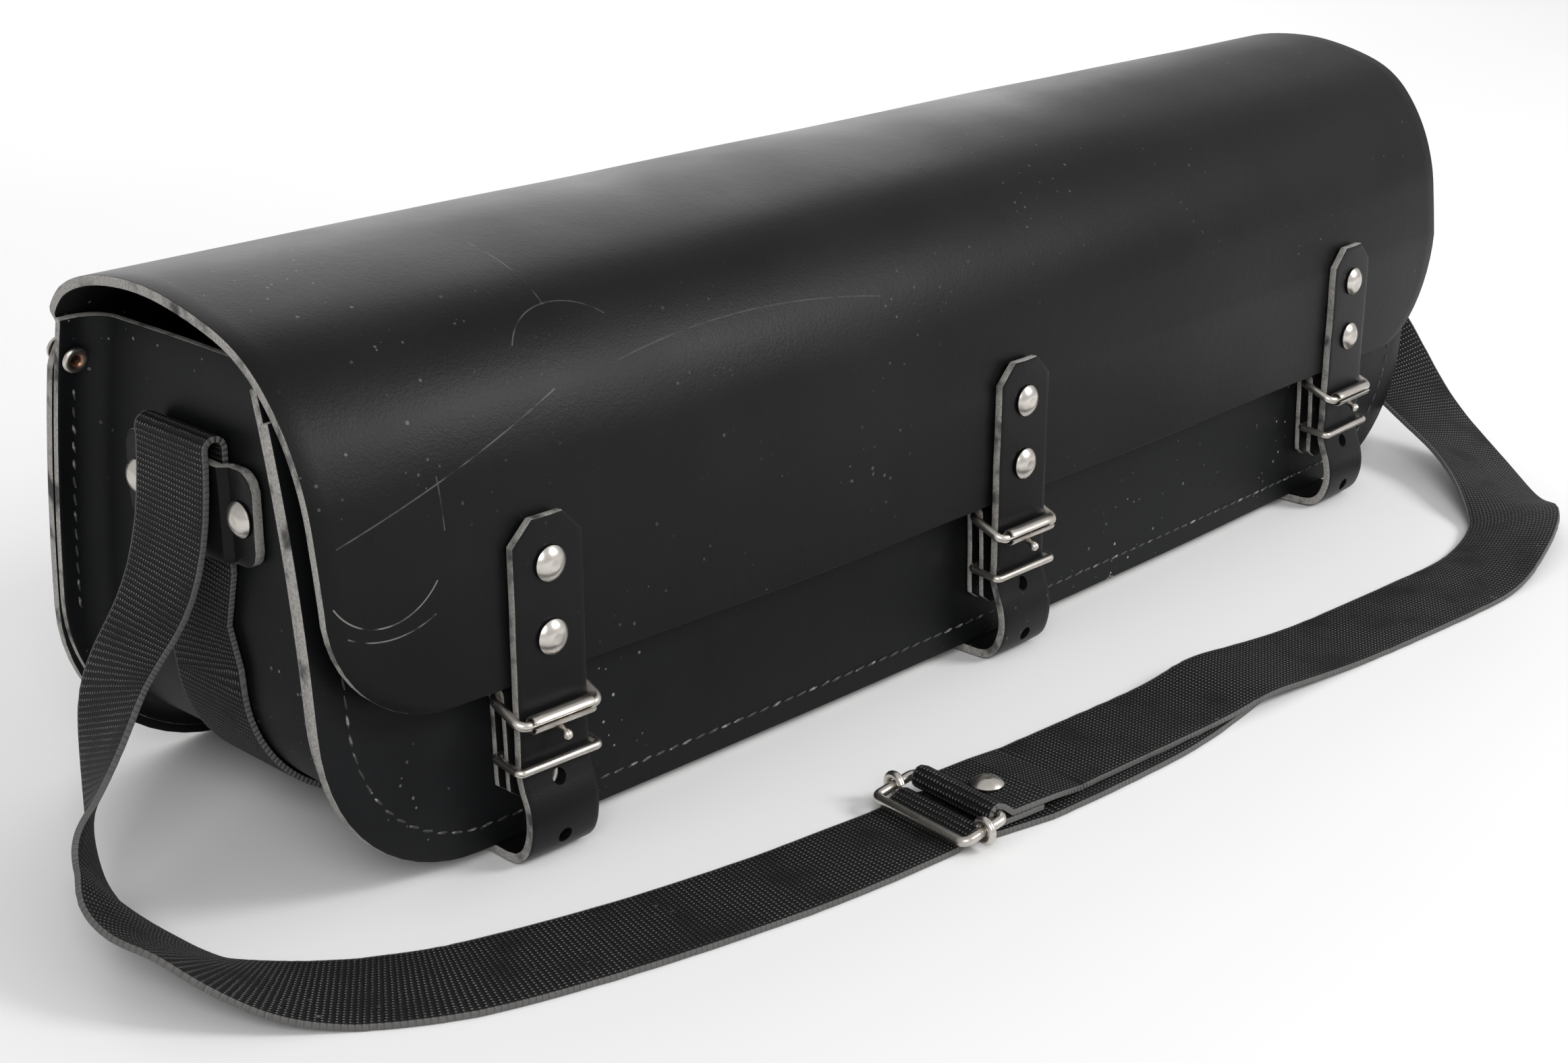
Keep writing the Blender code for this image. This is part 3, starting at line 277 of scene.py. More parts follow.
def arc_group():
    """A thin scratch along part of a circle in the sheet's own metres."""
    group, given, end = new_group("scratch_arc", ["Sheet", "Centre"], ["Radius", "From", "To"], ["Mask"])
    ends = [(0, given["Sheet"]), (1, given["Centre"])]
    away = add(group, "ShaderNodeVectorMath", ends, operation="SUBTRACT").outputs[0]
    length = add(group, "ShaderNodeVectorMath", [(0, away)], operation="LENGTH").outputs["Value"]
    parts = add(group, "ShaderNodeSeparateXYZ", [(0, away)]).outputs
    off = maths(group, "ABSOLUTE", maths(group, "SUBTRACT", length, given["Radius"]))
    line = maths(group, "SUBTRACT", 1.0, band(group, off, 0.00008, 0.0003))
    turn = maths(group, "ARCTAN2", parts["Y"], parts["X"])
    after = maths(group, "GREATER_THAN", turn, given["From"])
    before = maths(group, "LESS_THAN", turn, given["To"])
    faint = band(group, clouds(group, given["Sheet"], 130.0), 0.34, 0.62)
    feed(group, end, [("Mask", product(group, line, after, before, faint))])
    return group


def handled_group():
    """Fine handling marks and dull spots on plated wire."""
    group, given, end = new_group("handled_metal", ["Place"], [], ["Marks", "Dull"])
    dull = band(group, clouds(group, given["Place"], 170.0, 5.0), 0.45, 0.7)
    feed(group, end, [("Marks", clouds(group, given["Place"], 1500.0, 4.0)), ("Dull", dull)])
    return group


def new_finish(name):
    """A material, its nodes, its shader, and the places Object and UV on a piece."""
    material = bpy.data.materials.new(name)
    material.use_nodes = True
    tree = material.node_tree
    return material, tree, tree.nodes["Principled BSDF"], tree.nodes.new("ShaderNodeTexCoord").outputs


def use(tree, group, values):
    return add(tree, "ShaderNodeGroup", values, node_tree=group).outputs


def bump(tree, shader, height, strength, distance):
    values = [("Height", height), ("Strength", strength), ("Distance", distance)]
    feed(tree, shader, [("Normal", add(tree, "ShaderNodeBump", values).outputs["Normal"])])


def leather_finish(name, grain, dust, arc, colour, roughness, specks, scratches=()):
    """Black leather, its grain, its dust and its scratches."""
    material, tree, shader, place = new_finish(name)
    leather = use(tree, grain, [("Place", place["Object"])])
    patches = leather["Patches"]
    lighter = tuple(part * 1.9 for part in colour)
    base = mix_colours(tree, band(tree, patches, 0.3, 0.75), (*colour, 1.0), (*lighter, 1.0))
    marks = use(tree, dust, [("Place", place["Object"]), ("Amount", specks)])["Mask"]
    for centre, radius, low, high, strength in scratches:
        values = [("Centre", centre), ("Radius", radius), ("From", low), ("To", high)]
        line = use(tree, arc, [("Sheet", place["UV"])] + values)["Mask"]
        marks = maths(tree, "MAXIMUM", marks, product(tree, line, strength))
    values = [("Value", patches), ("From Min", 0.3), ("From Max", 0.7)]
    values += [("To Min", roughness[0]), ("To Max", roughness[1])]
    rough = add(tree, "ShaderNodeMapRange", values).outputs["Result"]
    base = mix_colours(tree, marks, base, (0.34, 0.33, 0.31, 1.0))
    feed(tree, shader, [("Base Color", base), ("Roughness", rough), ("Specular IOR Level", 0.14)])
    bump(tree, shader, leather["Height"], 0.12, 0.0005)
    return material


def edge_finish():
    """Cut leather: grey fibres with dark patches where the dye has crept in."""
    material, tree, shader, place = new_finish("raw_edge")
    fibres, stains = clouds(tree, place["Object"], 1400.0, 4.0), clouds(tree, place["Object"], 120.0, 5.0)
    pale = mix_colours(tree, fibres, (0.085, 0.082, 0.076, 1.0), (0.50, 0.48, 0.45, 1.0))
    colour = mix_colours(tree, band(tree, stains, 0.48, 0.72), pale, (0.045, 0.044, 0.043, 1.0))
    feed(tree, shader, [("Base Color", colour), ("Roughness", 0.85)])
    bump(tree, shader, fibres, 0.5, 0.0004)
    return material


def webbing_finish(dust):
    """Ribs across the band, with rows of pale threads and frayed, paler edges."""
    material, tree, shader, place = new_finish("ribbed_webbing")
    parts = add(tree, "ShaderNodeSeparateXYZ", [(0, place["UV"])]).outputs
    width = WEBBING_WIDTH * MM
    shift = maths(tree, "MULTIPLY_ADD", clouds(tree, place["Object"], 420.0), 0.0006, parts["Y"])
    ribs = maths(tree, "SINE", product(tree, shift, 2.0 * math.pi / (RIB_PITCH * MM)))
    rows = maths(tree, "SINE", product(tree, parts["X"], 2.0 * math.pi / (THREAD_ROW_PITCH * MM)))
    dots = product(tree, band(tree, ribs, 0.2, 1.0), band(tree, rows, 0.0, 1.0))
    seen = product(tree, dots, band(tree, clouds(tree, place["Object"], 60.0, 5.0), 0.2, 0.6), 0.75)
    middle = maths(tree, "ABSOLUTE", maths(tree, "SUBTRACT", parts["X"], width / 2.0))
    rim = product(tree, band(tree, middle, width * 0.475, width * 0.5), 0.5)
    lint = use(tree, dust, [("Place", place["Object"]), ("Amount", 0.4)])["Mask"]
    pale = maths(tree, "MAXIMUM", seen, rim)
    colour = mix_colours(tree, pale, (0.0040, 0.0039, 0.0041, 1.0), (0.23, 0.225, 0.22, 1.0))
    colour = mix_colours(tree, lint, colour, (0.3, 0.3, 0.29, 1.0))
    feed(tree, shader, [("Base Color", colour), ("Roughness", 0.7), ("Specular IOR Level", 0.25)])
    bump(tree, shader, maths(tree, "MULTIPLY_ADD", rows, 0.25, ribs), 0.7, 0.00035)
    return material


def metal_finish(name, handled, bright, dull):
    """Metal that handling has dulled in places: its shader, and where it is marked and dull."""
    material, tree, shader, place = new_finish(name)
    wear = use(tree, handled, [("Place", place["Object"])])
    colour = mix_colours(tree, wear["Dull"], (*bright, 1.0), (*dull, 1.0))
    feed(tree, shader, [("Base Color", colour), ("Metallic", 1.0)])
    return material, tree, shader, wear


def nickel_finish(handled):
    colours = (0.62, 0.585, 0.54), (0.47, 0.44, 0.40)
    material, tree, shader, wear = metal_finish("satin_nickel", handled, *colours)
    rough = maths(tree, "MULTIPLY_ADD", wear["Dull"], 0.08, 0.24)
    feed(tree, shader, [("Roughness", maths(tree, "MULTIPLY_ADD", wear["Marks"], 0.08, rough))])
    bump(tree, shader, wear["Marks"], 0.03, 0.0002)
    return material


def copper_finish(handled):
    """The bare metal where a tubular rivet is rolled over."""
    colours = (0.34, 0.20, 0.13), (0.07, 0.055, 0.05)
    material, tree, shader, wear = metal_finish("worn_copper", handled, *colours)
    feed(tree, shader, [("Roughness", maths(tree, "MULTIPLY_ADD", wear["Marks"], 0.3, 0.25))])
    return material


def thread_finish():
    material, tree, shader, place = new_finish("waxed_thread")
    twist = clouds(tree, place["Object"], 300.0, 3.0)
    share = band(tree, twist, 0.5, 0.68)
    colour = mix_colours(tree, share, (0.018, 0.018, 0.018, 1.0), (0.22, 0.215, 0.20, 1.0))
    feed(tree, shader, [("Base Color", colour), ("Roughness", 0.6)])
    bump(tree, shader, twist, 0.3, 0.0002)
    return material


def floor_finish():
    material, tree, shader, place = new_finish("pale_floor")
    tone = clouds(tree, place["Object"], 3.0)
    colour = mix_colours(tree, tone, (0.80, 0.80, 0.80, 1.0), (0.83, 0.83, 0.83, 1.0))
    feed(tree, shader, [("Base Color", colour), ("Roughness", 0.9)])
    return material


# Making and finishing a piece

pieces_made = []


def pick(*pieces):
    """Selects only these, the first one active."""
    bpy.ops.object.select_all(action="DESELECT")
    for piece in pieces:
        piece.select_set(True)
    bpy.context.view_layer.objects.active = pieces[0]


def apply(piece, kind, **settings):
    modifier = piece.modifiers.new(kind.lower(), kind)
    for label, value in settings.items():
        setattr(modifier, label, value)
    pick(piece)
    bpy.ops.object.modifier_apply(modifier=modifier.name)


def edit_all(piece, *steps):
    """Runs steps, each on everything in a piece."""
    pick(piece)
    bpy.ops.object.mode_set(mode="EDIT")
    for step in steps:
        bpy.ops.mesh.select_all(action="SELECT")
        step()
    bpy.ops.object.mode_set(mode="OBJECT")


def face_outward():
    bpy.ops.mesh.normals_make_consistent(inside=False)


def settle(piece, name, finishes, nodes, angle=35.0):
    """Names a piece, smooths it, gives it its finishes and lets it stand for its solids."""
    piece.name = name
    piece.data.name = name
    pick(piece)
    bpy.ops.object.transform_apply(location=True, rotation=True, scale=True)
    bpy.ops.object.shade_smooth_by_angle(angle=math.radians(angle))
    while len(piece.data.materials) < len(finishes):
        piece.data.materials.append(None)
    for index, finish in enumerate(finishes):
        piece.data.materials[index] = finish
    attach(piece, "root")
    pieces_made.append(piece)
    if nodes:
        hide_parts(*nodes)


def lay(rows, thickness, outward=1.0, round_edge=0.5):
    """A sheet laid along rows of points, given its thickness and slightly rounded edges. Its cut edges
    take the second finish."""
    columns = len(rows[0])
    bpy.ops.mesh.primitive_grid_add(x_subdivisions=columns - 1, y_subdivisions=len(rows) - 1, size=1.0)
    sheet = bpy.context.object
    mesh = sheet.data
    reach = [0.0]
    for before, here in zip(rows, rows[1:]):
        reach.append(reach[-1] + (here[columns // 2] - before[columns // 2]).length * MM)
    sides = [(row[0] - row[-1]).length * MM for row in rows]
    widest = max(sides)
    uv = []
    for row, points in enumerate(rows):
        for column, point in enumerate(points):
            mesh.vertices[row * columns + column].co = point * MM
            inset = (widest - sides[row]) / 2.0
            uv.append((inset + sides[row] * column / (columns - 1), reach[row]))
    layer = mesh.uv_layers.active.data
    for loop in mesh.loops:
        layer[loop.index].uv = uv[loop.vertex_index]
    mesh.update()
    mesh.materials.append(None)
    mesh.materials.append(None)
    settings = {"use_even_offset": True, "material_offset_rim": 1}
    apply(sheet, "SOLIDIFY", thickness=thickness * MM, offset=outward, **settings)
    bend = math.radians(50)
    apply(sheet, "BEVEL", width=round_edge * MM, segments=2, limit_method="ANGLE", angle_limit=bend)
    edit_all(sheet, face_outward)
    return sheet


def cut(piece, tool):
    """Takes a tool's shape out of a piece."""
    pick(tool)
    bpy.ops.object.transform_apply(location=True, rotation=True, scale=True)
    apply(piece, "BOOLEAN", operation="DIFFERENCE", solver="EXACT", object=tool)
    bpy.data.objects.remove(tool, do_unlink=True)


def drill(piece, bars):
    """Cuts round holes, given as start, end and radius, through a piece."""
    tools = []
    for start, end, radius in bars:
        along = end - start
        bpy.ops.mesh.primitive_cylinder_add(
            vertices=24, radius=radius * MM, depth=along.length * MM, location=(start + end) / 2.0 * MM
        )
        tools.append(bpy.context.object)
        tools[-1].rotation_euler = along.to_track_quat("Z", "Y").to_euler()
    pick(*tools)
    bpy.ops.object.join()
    cut(piece, tools[0])


def bent_wire(points, diameter, closed, ball=0.0):
    """A round wire along points, made a mesh. ball widens its tip, as a share of its radius."""
    curve = bpy.data.curves.new("wire", "CURVE")
    curve.dimensions = "3D"
    curve.bevel_depth = diameter / 2.0 * MM
    curve.bevel_resolution = 4
    curve.use_fill_caps = not closed
    spline = curve.splines.new("POLY")
    spline.points.add(len(points) - 1)
    for vertex, point in zip(spline.points, points):
        vertex.co = (*(point * MM), 1.0)
    spline.use_cyclic_u = closed
    if ball:
        for back, share in ((1, 0.62), (2, 0.95), (3, 1.0), (4, 0.9), (5, 0.62)):
            spline.points[-back].radius = max(ball * share, 0.5)
    piece = bpy.data.objects.new("wire", curve)
    bpy.context.scene.collection.objects.link(piece)
    pick(piece)
    bpy.ops.object.convert(target="MESH")
    piece = bpy.context.object
    apply(piece, "WELD", merge_threshold=0.00001)
    return piece


def spun(outline, foot, axis):
    """A turned piece: an outline of radius and height spun round an axis."""
    bpy.ops.mesh.primitive_plane_add(size=1.0)
    piece = bpy.context.object
    edit_all(piece, lambda: bpy.ops.mesh.delete(type="VERT"))
    points = [(radius * MM, 0.0, height * MM) for radius, height in outline]
    piece.data.from_pydata(points, [(index, index + 1) for index in range(len(points) - 1)], [])
    circle = {"steps": 32, "angle": 2.0 * math.pi, "center": (0.0, 0.0, 0.0), "axis": (0.0, 0.0, 1.0)}
    edit_all(
        piece,
        lambda: bpy.ops.mesh.spin(**circle),
        lambda: bpy.ops.mesh.remove_doubles(threshold=0.000005),
        face_outward,
    )
    turn = Vector(axis).to_track_quat("Z", "Y").to_matrix().to_4x4()
    piece.matrix_world = Matrix.Translation(Vector(foot) * MM) @ turn
    return piece


def move_mesh(piece, matrix):
    piece.data.transform(matrix)
    piece.data.update()


def even(first, last, steps):
    """Evenly spaced values from first to last."""
    return [first + (last - first) * step / steps for step in range(steps + 1)]


def quarter_turn(steps):
    return even(0.0, math.pi / 2.0, steps)


# Places shared by the pieces


def smooth(points, steps):
    """A soft curve through points."""
    curve = []
    padded = [points[0], *points, points[-1]]
    for before, here, there, after in zip(padded, padded[1:], padded[2:], padded[3:]):
        slope, bend = there - before, 2.0 * before - 5.0 * here + 4.0 * there - after
        twist = 3.0 * here - before - 3.0 * there + after
        for t in even(0.0, 1.0, steps)[:-1]:
            curve.append(0.5 * (2.0 * here + slope * t + bend * t**2 + twist * t**3))
    return curve + [points[-1]]


def corner_steps(radius, steps):
    """Rise and draw-in along a rounded corner."""
    return [(radius * (1.0 - math.cos(t)), radius * (1.0 - math.sin(t))) for t in quarter_turn(steps)]


def panel_lean(height):
    """How far each panel leans in at a height."""
    return TOP_LEAN * (min(max(height, 0.0), SEAM_HEIGHT) / SEAM_HEIGHT) ** LEAN_POWER


def bow(x):
    """How far the front bulges, less how far it stands back towards the right."""
    return FRONT_BOW * (1.0 - (2.0 * x / LENGTH) ** 2) - RIGHT_SETBACK * (0.5 + x / LENGTH)


def front_face(x, height):
    return -DEPTH / 2.0 + panel_lean(height) - bow(x) - END_FULLNESS * max(-2.0 * x / LENGTH, 0.0) ** 14


def back_face(height):
    return DEPTH / 2.0 - panel_lean(height)


def back_normal(height):
    slope = TOP_LEAN * LEAN_POWER / SEAM_HEIGHT * (height / SEAM_HEIGHT) ** (LEAN_POWER - 1.0)
    return Vector((0.0, 1.0, slope)).normalized()


def flap_face(x):
    return -DEPTH / 2.0 - FLAP_STAND_OFF - bow(x)


def across_columns(half_width, count):
    return [half_width * (2.0 * column / count - 1.0) for column in range(count + 1)]


def uneven(point, reach, amount):
    """A gentle, fixed unevenness of hand-made leather."""
    return amount * noise.noise(Vector(point) / reach)


def slider_spot(along, height, across=0.0):
    turn = math.radians(SLIDER_TURN)
    x = LENGTH / 2.0 * SLIDER_ALONG + along * math.cos(turn) - across * math.sin(turn)
    y = -DEPTH / 2.0 * SLIDER_FORWARD + along * math.sin(turn) + across * math.cos(turn)
    return Vector((x, y, height))


# The leather body


def profile_rows():
    """y, z and how far each end draws in, over the back, the top and the front."""
    rows = [Vector((back_face(rise), rise, draw)) for rise, draw in corner_steps(CORNER_RADIUS, 14)]
    middle = [rows[-1]]
    middle += [Vector((back_face(SEAM_HEIGHT * s), SEAM_HEIGHT * s, 0.0)) for s in (0.52, 0.66, 0.8, 0.9)]
    middle.append(Vector((back_face(SEAM_HEIGHT * 0.97), SEAM_HEIGHT * 0.97, SEAM_NOTCH)))
    middle += [Vector((DEPTH / 2.0 * y, CROWN_HEIGHT * z, 0.0)) for y, z in CROWN]
    low = [
        Vector((-DEPTH / 2.0 - FLAP_STAND_OFF, FLAP_EDGE + rise, draw))
        for rise, draw in reversed(corner_steps(FLAP_RADIUS, 12))
    ]
    middle.append(low[0])
    return rows[:-1] + smooth(middle, 5) + low[1:]


def back_and_flap(finishes):
    rows = []
    for y, z, draw in profile_rows():
        bulge = min(max(-y / (DEPTH / 2.0 + FLAP_STAND_OFF), 0.0), 1.0)
        row = []
        for x in across_columns(LENGTH / 2.0 - max(draw, 0.0), 84):
            point = Vector((x, y - bow(x) * bulge, z))
            wave = uneven(point, 95.0, 1.0) + uneven(point, 38.0, 0.28)
            point.y -= wave * bulge
            point.z += wave * (0.5 if z > FLAP_EDGE + FLAP_RADIUS else 0.12) * (1.0 if draw == 0.0 else 0.0)
            row.append(point)
        rows.append(row)
    settle(lay(rows, LEATHER), "leather_back_and_flap", finishes, ["back_and_flap"], 50.0)


def front_panel(finishes):
    rows = []
    spans = [(FRONT_LIFT + rise, draw) for rise, draw in corner_steps(CORNER_RADIUS - FRONT_LIFT, 14)]
    spans += [(SEAM_HEIGHT * share, 0.0) for share in even(0.45, FRONT_TOP, 12)[1:]]
    for z, draw in spans:
        row = []
        for x in across_columns(LENGTH / 2.0 - draw, 72):
            point = Vector((x, front_face(x, z), z))
            point.y += uneven(point, 70.0, 0.35)
            row.append(point)
        rows.append(row)
    settle(lay(rows, LEATHER, -1.0), "leather_front_panel", finishes, ["front_panel"], 50.0)


def u_path(half, base, radius, steps):
    """Points down the left end, along the base and up the right end."""
    left = [(-half, z) for z in even(SEAM_HEIGHT, base + radius, steps)[:-1]]
    left += [(-half + draw, base + rise) for draw, rise in corner_steps(radius, 2 * steps)]
    left += [(x, base) for x in even(radius - half, 0.0, steps)[1:-1]]
    return left + [(0.0, base)] + [(-x, z) for x, z in reversed(left)]


def gusset(finishes):
    """The strip round the ends and the base, its edges turned outward in soft bends."""
    webs = u_path(GUSSET_HALF, GUSSET_BASE, CORNER_RADIUS - END_FLANGE, 9)
    tips = u_path(LENGTH / 2.0 - GAP, FRONT_LIFT + GAP, CORNER_RADIUS - GAP, 9)
    rows = []
    for (web_x, web_z), (tip_x, tip_z) in zip(webs, tips):
        web = Vector((web_x, 0.0, web_z))
        reach = Vector((tip_x - web_x, 0.0, tip_z - web_z))
        outward, limit = reach.normalized(), reach.length
        row = []
        for radius, seam in ((FRONT_BEND, "front"), (BACK_BEND, "back")):
            radius = min(radius, limit * 0.7)
            bend = [(GUSSET_LEATHER + depth, offset) for depth, offset in corner_steps(radius, 8)]
            flange = [(GUSSET_LEATHER, offset) for offset in even(limit, radius, 4)[:-1]]
            placed = []
            for depth, offset in flange + bend:
                spot = web + outward * min(offset, limit)
                if seam == "front":
                    spot.y = front_face(spot.x, spot.z) + LEATHER + GAP + depth
                else:
                    spot.y = back_face(spot.z) - LEATHER - GAP - depth
                placed.append(spot)
            row += placed if seam == "front" else list(reversed(placed))
        half = len(row) // 2
        near, far = row[half - 1], row[half]
        belly = [near.lerp(far, step / 8.0) for step in range(1, 8)]
        for step, spot in enumerate(belly):
            sag = math.sin(math.pi * (step + 1) / 8.0) * 0.7 + uneven(spot, 46.0, 0.5)
            spot -= outward * abs(sag) * (1.0 if web_z > GUSSET_BASE + 1.0 else 0.0)
        row[half:half] = belly
        rows.append(row)
    settle(lay(rows, GUSSET_LEATHER, -1.0, 0.4), "leather_gusset", finishes, ["gusset"], 50.0)


def seam_path(inset):
    """Points along a panel's sewn edge, a fixed way inside it."""
    half, radius = LENGTH / 2.0 - inset, CORNER_RADIUS - inset
    corner = [(-half + draw, inset + rise) for draw, rise in corner_steps(radius, 12)]
    points = [(-half, SEAM_HEIGHT * 0.93)] + corner
    return points + [(-x, z) for x, z in reversed(points)]


def flange_path(side):
    """The upright seams of a rear flange, which show beside the gusset."""
    x = side * (LENGTH / 2.0 - FLANGE_STITCH_INSET)
    return [(x, SEAM_HEIGHT * 0.86), (x, CORNER_RADIUS)]


def stitches(name, seam, face, finish):
    """One short stitch, copied along a seam."""
    path = [Vector((x, 0.0, z)) for x, z in seam]
    spots, carried = [], STITCH_PITCH / 2.0
    for start, end in zip(path, path[1:]):
        run = (end - start).length
        while carried < run:
            spots.append((start.lerp(end, carried / run), (end - start).normalized()))
            carried += STITCH_PITCH
        carried -= run
    bpy.ops.mesh.primitive_uv_sphere_add(segments=8, ring_count=6, radius=1.0)
    first = bpy.context.object
    first.scale = (STITCH_PITCH * 0.4 * MM, 0.42 * MM, 0.48 * MM)
    bpy.ops.object.transform_apply(location=True, rotation=True, scale=True)
    copies = []
    for index, (spot, along) in enumerate(spots):
        stitch = first.copy()
        stitch.data = first.data.copy()
        bpy.context.scene.collection.objects.link(stitch)
        place = Vector((spot.x, face(spot.x, spot.z), spot.z))
        tilt = math.radians(7.0) + 0.12 * noise.noise(Vector((index * 1.7, 0.0, 0.0)))
        turn = Matrix.Rotation(-math.atan2(along.z, along.x) - tilt, 4, "Y")
        stitch.matrix_world = Matrix.Translation(place * MM) @ turn
        copies.append(stitch)
    bpy.data.objects.remove(first, do_unlink=True)
    pick(*copies)
    bpy.ops.object.join()
    settle(copies[0], name, [finish], [], 60.0)


# The closures


def strap_line(x):
    return flap_face(x) - GAP - STRAP_LEATHER / 2.0


def hinge_place(x):
    """y and height of the buckle frame's back bar, under the flap's edge."""
    offset = GAP + CHAPE_LEATHER + GAP + WIRE / 2.0
    height = FLAP_EDGE - 2.0 * GAP - CHAPE_LEATHER - GAP - WIRE / 2.0
    return front_face(x, height) - offset, height


def roller_place(x):
    return strap_line(x) - STRAP_LEATHER / 2.0 - GAP - ROLLER_DIAMETER / 2.0, ROLLER_HEIGHT


def prong_line(x):
    """Where a prong leaves its eye and where its tip ends, under the roller."""
    hinge_y, hinge_z = hinge_place(x)
    roller_y, roller_z = roller_place(x)
    eye = (WIRE + PRONG_WIRE) / 2.0 + GAP
    drop = (ROLLER_DIAMETER + PRONG_WIRE) / 2.0 + GAP
    start = Vector((x, hinge_y, hinge_z))
    under = Vector((x, roller_y, roller_z - drop))
    run = (under - start).normalized()
    below = Vector((0.0, run.z, -run.y))
    if below.z > 0.0:
        below = -below
    start = start + below * eye
    return start, under + (under - start).normalized() * ROLLER_DIAMETER * 0.75


def strap_hole_heights(x):
    start, tip = prong_line(x)
    share = (strap_line(x) - start.y) / (tip.y - start.y)
    height = start.z + (tip.z - start.z) * share
    return (height, height - HOLE_PITCH, height - 2.0 * HOLE_PITCH)


def closure_rivet_heights():
    return (STRAP_TOP - RIVET_INSET, STRAP_TOP - RIVET_INSET - RIVET_PITCH)


def strap_centres(x, steps):
    flat = strap_line(x)
    return smooth([Vector((x, flat - FLAP_STAND_OFF * y, FLAP_EDGE * z)) for y, z in STRAP_RUN], steps)


def ribbon_rows(centres, half_widths, columns, wave):
    """Rows across a strap from its middle line, facing the front and slightly wavy."""
    rows = []
    for index, (centre, half) in enumerate(zip(centres, half_widths)):
        before, after = centres[max(index - 1, 0)], centres[min(index + 1, len(centres) - 1)]
        along = (after - before).normalized()
        outward = Vector((0.0, along.z, -along.y))
        row = []
        for share in across_columns(1.0, columns):
            edge = 0.0
            if abs(share) == 1.0:
                edge = wave * noise.noise(Vector((share * 2.0, index * 0.13, centre.x)))
            crown = 0.25 * (share**2) + uneven((share * 9.0, centre.y, centre.z + centre.x), 14.0, 0.22)
            row.append(centre + Vector(((half + edge) * share, 0.0, 0.0)) - outward * crown)
        rows.append(row)
    return rows


def closure_strap(name, x, finishes):
    flat = strap_line(x)
    shoulder = STRAP_TOP - STRAP_CHAMFER
    levels = even(STRAP_TOP, shoulder, 4)[:-1] + even(shoulder, FLAP_EDGE, 14)[:-1]
    centres = [Vector((x, flat, z)) for z in levels] + strap_centres(x, 6)
    widths = even(STRAP_WIDTH / 2.0 - STRAP_CHAMFER, STRAP_WIDTH / 2.0, 4)[:-1]
    widths += [STRAP_WIDTH / 2.0] * (len(centres) - 4)
    piece = lay(ribbon_rows(centres, widths, 12, 0.22), STRAP_LEATHER, 0.0, 0.45)
    reach = Vector((0.0, 2.0 * STRAP_LEATHER, 0.0))
    bars = []
    for z in strap_hole_heights(x):
        nearest = min(strap_centres(x, 6), key=lambda point: abs(point.z - z) + 0.2 * abs(point.y - flat))
        spot = Vector((x, nearest.y, z))
        bars.append((spot - reach, spot + reach, HOLE_RADIUS))
    for z in closure_rivet_heights():
        spot = Vector((x, flat, z))
        bars.append((spot - reach, spot + reach, SHANK_DIAMETER / 2.0 + GAP))
    drill(piece, bars)
    settle(piece, f"strap_leather_{name}", finishes, [f"closure_strap_{name}"], 40.0)


def chape_front(x, height):
    return front_face(x, height) - 3.0 * GAP - CHAPE_LEATHER * 1.5 - WIRE


def chape(name, x, finishes):
    hinge_y, hinge_z = hinge_place(x)
    half_sheet = CHAPE_LEATHER / 2.0
    heights = even(CHAPE_BOTTOM, CHAPE_RIVETS[0] + 4.0, 8)
    back = [Vector((x, front_face(x, z) - GAP - half_sheet, z)) for z in heights]
    radius = WIRE / 2.0 + GAP + half_sheet
    fold = [(hinge_y + radius * math.cos(t), hinge_z + radius * math.sin(t)) for t in even(0.0, math.pi, 12)]
    front = [Vector((x, chape_front(x, z), z)) for z in reversed(heights)]
    centres = back + [Vector((x, y, z)) for y, z in fold] + front
    low = CHAPE_BOTTOM + 4.0
    widths = []
    for centre in centres:
        drawn = max(low - centre.z, 0.0)
        widths.append(STRAP_WIDTH / 2.0 - 4.0 + math.sqrt(max(16.0 - drawn**2, 0.0)))
    piece = lay(ribbon_rows(centres, widths, 10, 0.15), CHAPE_LEATHER, 0.0, 0.35)
    bottom, top = hinge_z - WIRE * 2.5, FLAP_EDGE + 5.0
    bpy.ops.mesh.primitive_cube_add(size=1.0, location=(x * MM, hinge_y * MM, (bottom + top) / 2.0 * MM))
    slot = bpy.context.object
    slot.scale = (CHAPE_SLOT * MM, 30.0 * MM, (top - bottom) * MM)
    cut(piece, slot)
    settle(piece, f"chape_leather_{name}", finishes, [f"chape_{name}"], 40.0)


def ring_points(x, back, front, half, radius):
    """A rounded ring round a strap, from its back bar's place to its front bar's."""
    back, front = Vector((x, *back)), Vector((x, *front))
    along, across = (front - back).normalized(), Vector((1.0, 0.0, 0.0))
    long = (front - back).length - 2.0 * radius
    points = []
    for side, end in ((1.0, 0.0), (1.0, 1.0), (-1.0, 1.0), (-1.0, 0.0)):
        middle = back + along * (radius + long * end) + across * side * (half - radius)
        away = along * (1.0 if end else -1.0)
        arc = [middle + radius * (across * side * math.cos(t) + away * math.sin(t)) for t in quarter_turn(8)]
        points += arc if (side > 0.0) == (end > 0.0) else list(reversed(arc))
    return points


def split_roller(name, x, place, finish):
    """Sheet metal rolled round the frame's front bar, with a slit left open."""
    middle, half = Vector((x, *place)), STRAP_WIDTH / 2.0 - 1.5
    rows = []
    for turn in even(20.0, 352.0, 32):
        turn = math.radians(turn)
        wall = middle + Vector((0.0, -math.cos(turn), math.sin(turn))) * ROLLER_DIAMETER / 2.0
        rows.append([wall + Vector((along, 0.0, 0.0)) for along in across_columns(half, 6)])
    piece = lay(rows, ROLLER_WALL, -1.0, 0.2)
    settle(piece, f"roller_{name}", [finish, finish], [f"buckle_roller_{name}"], 40.0)


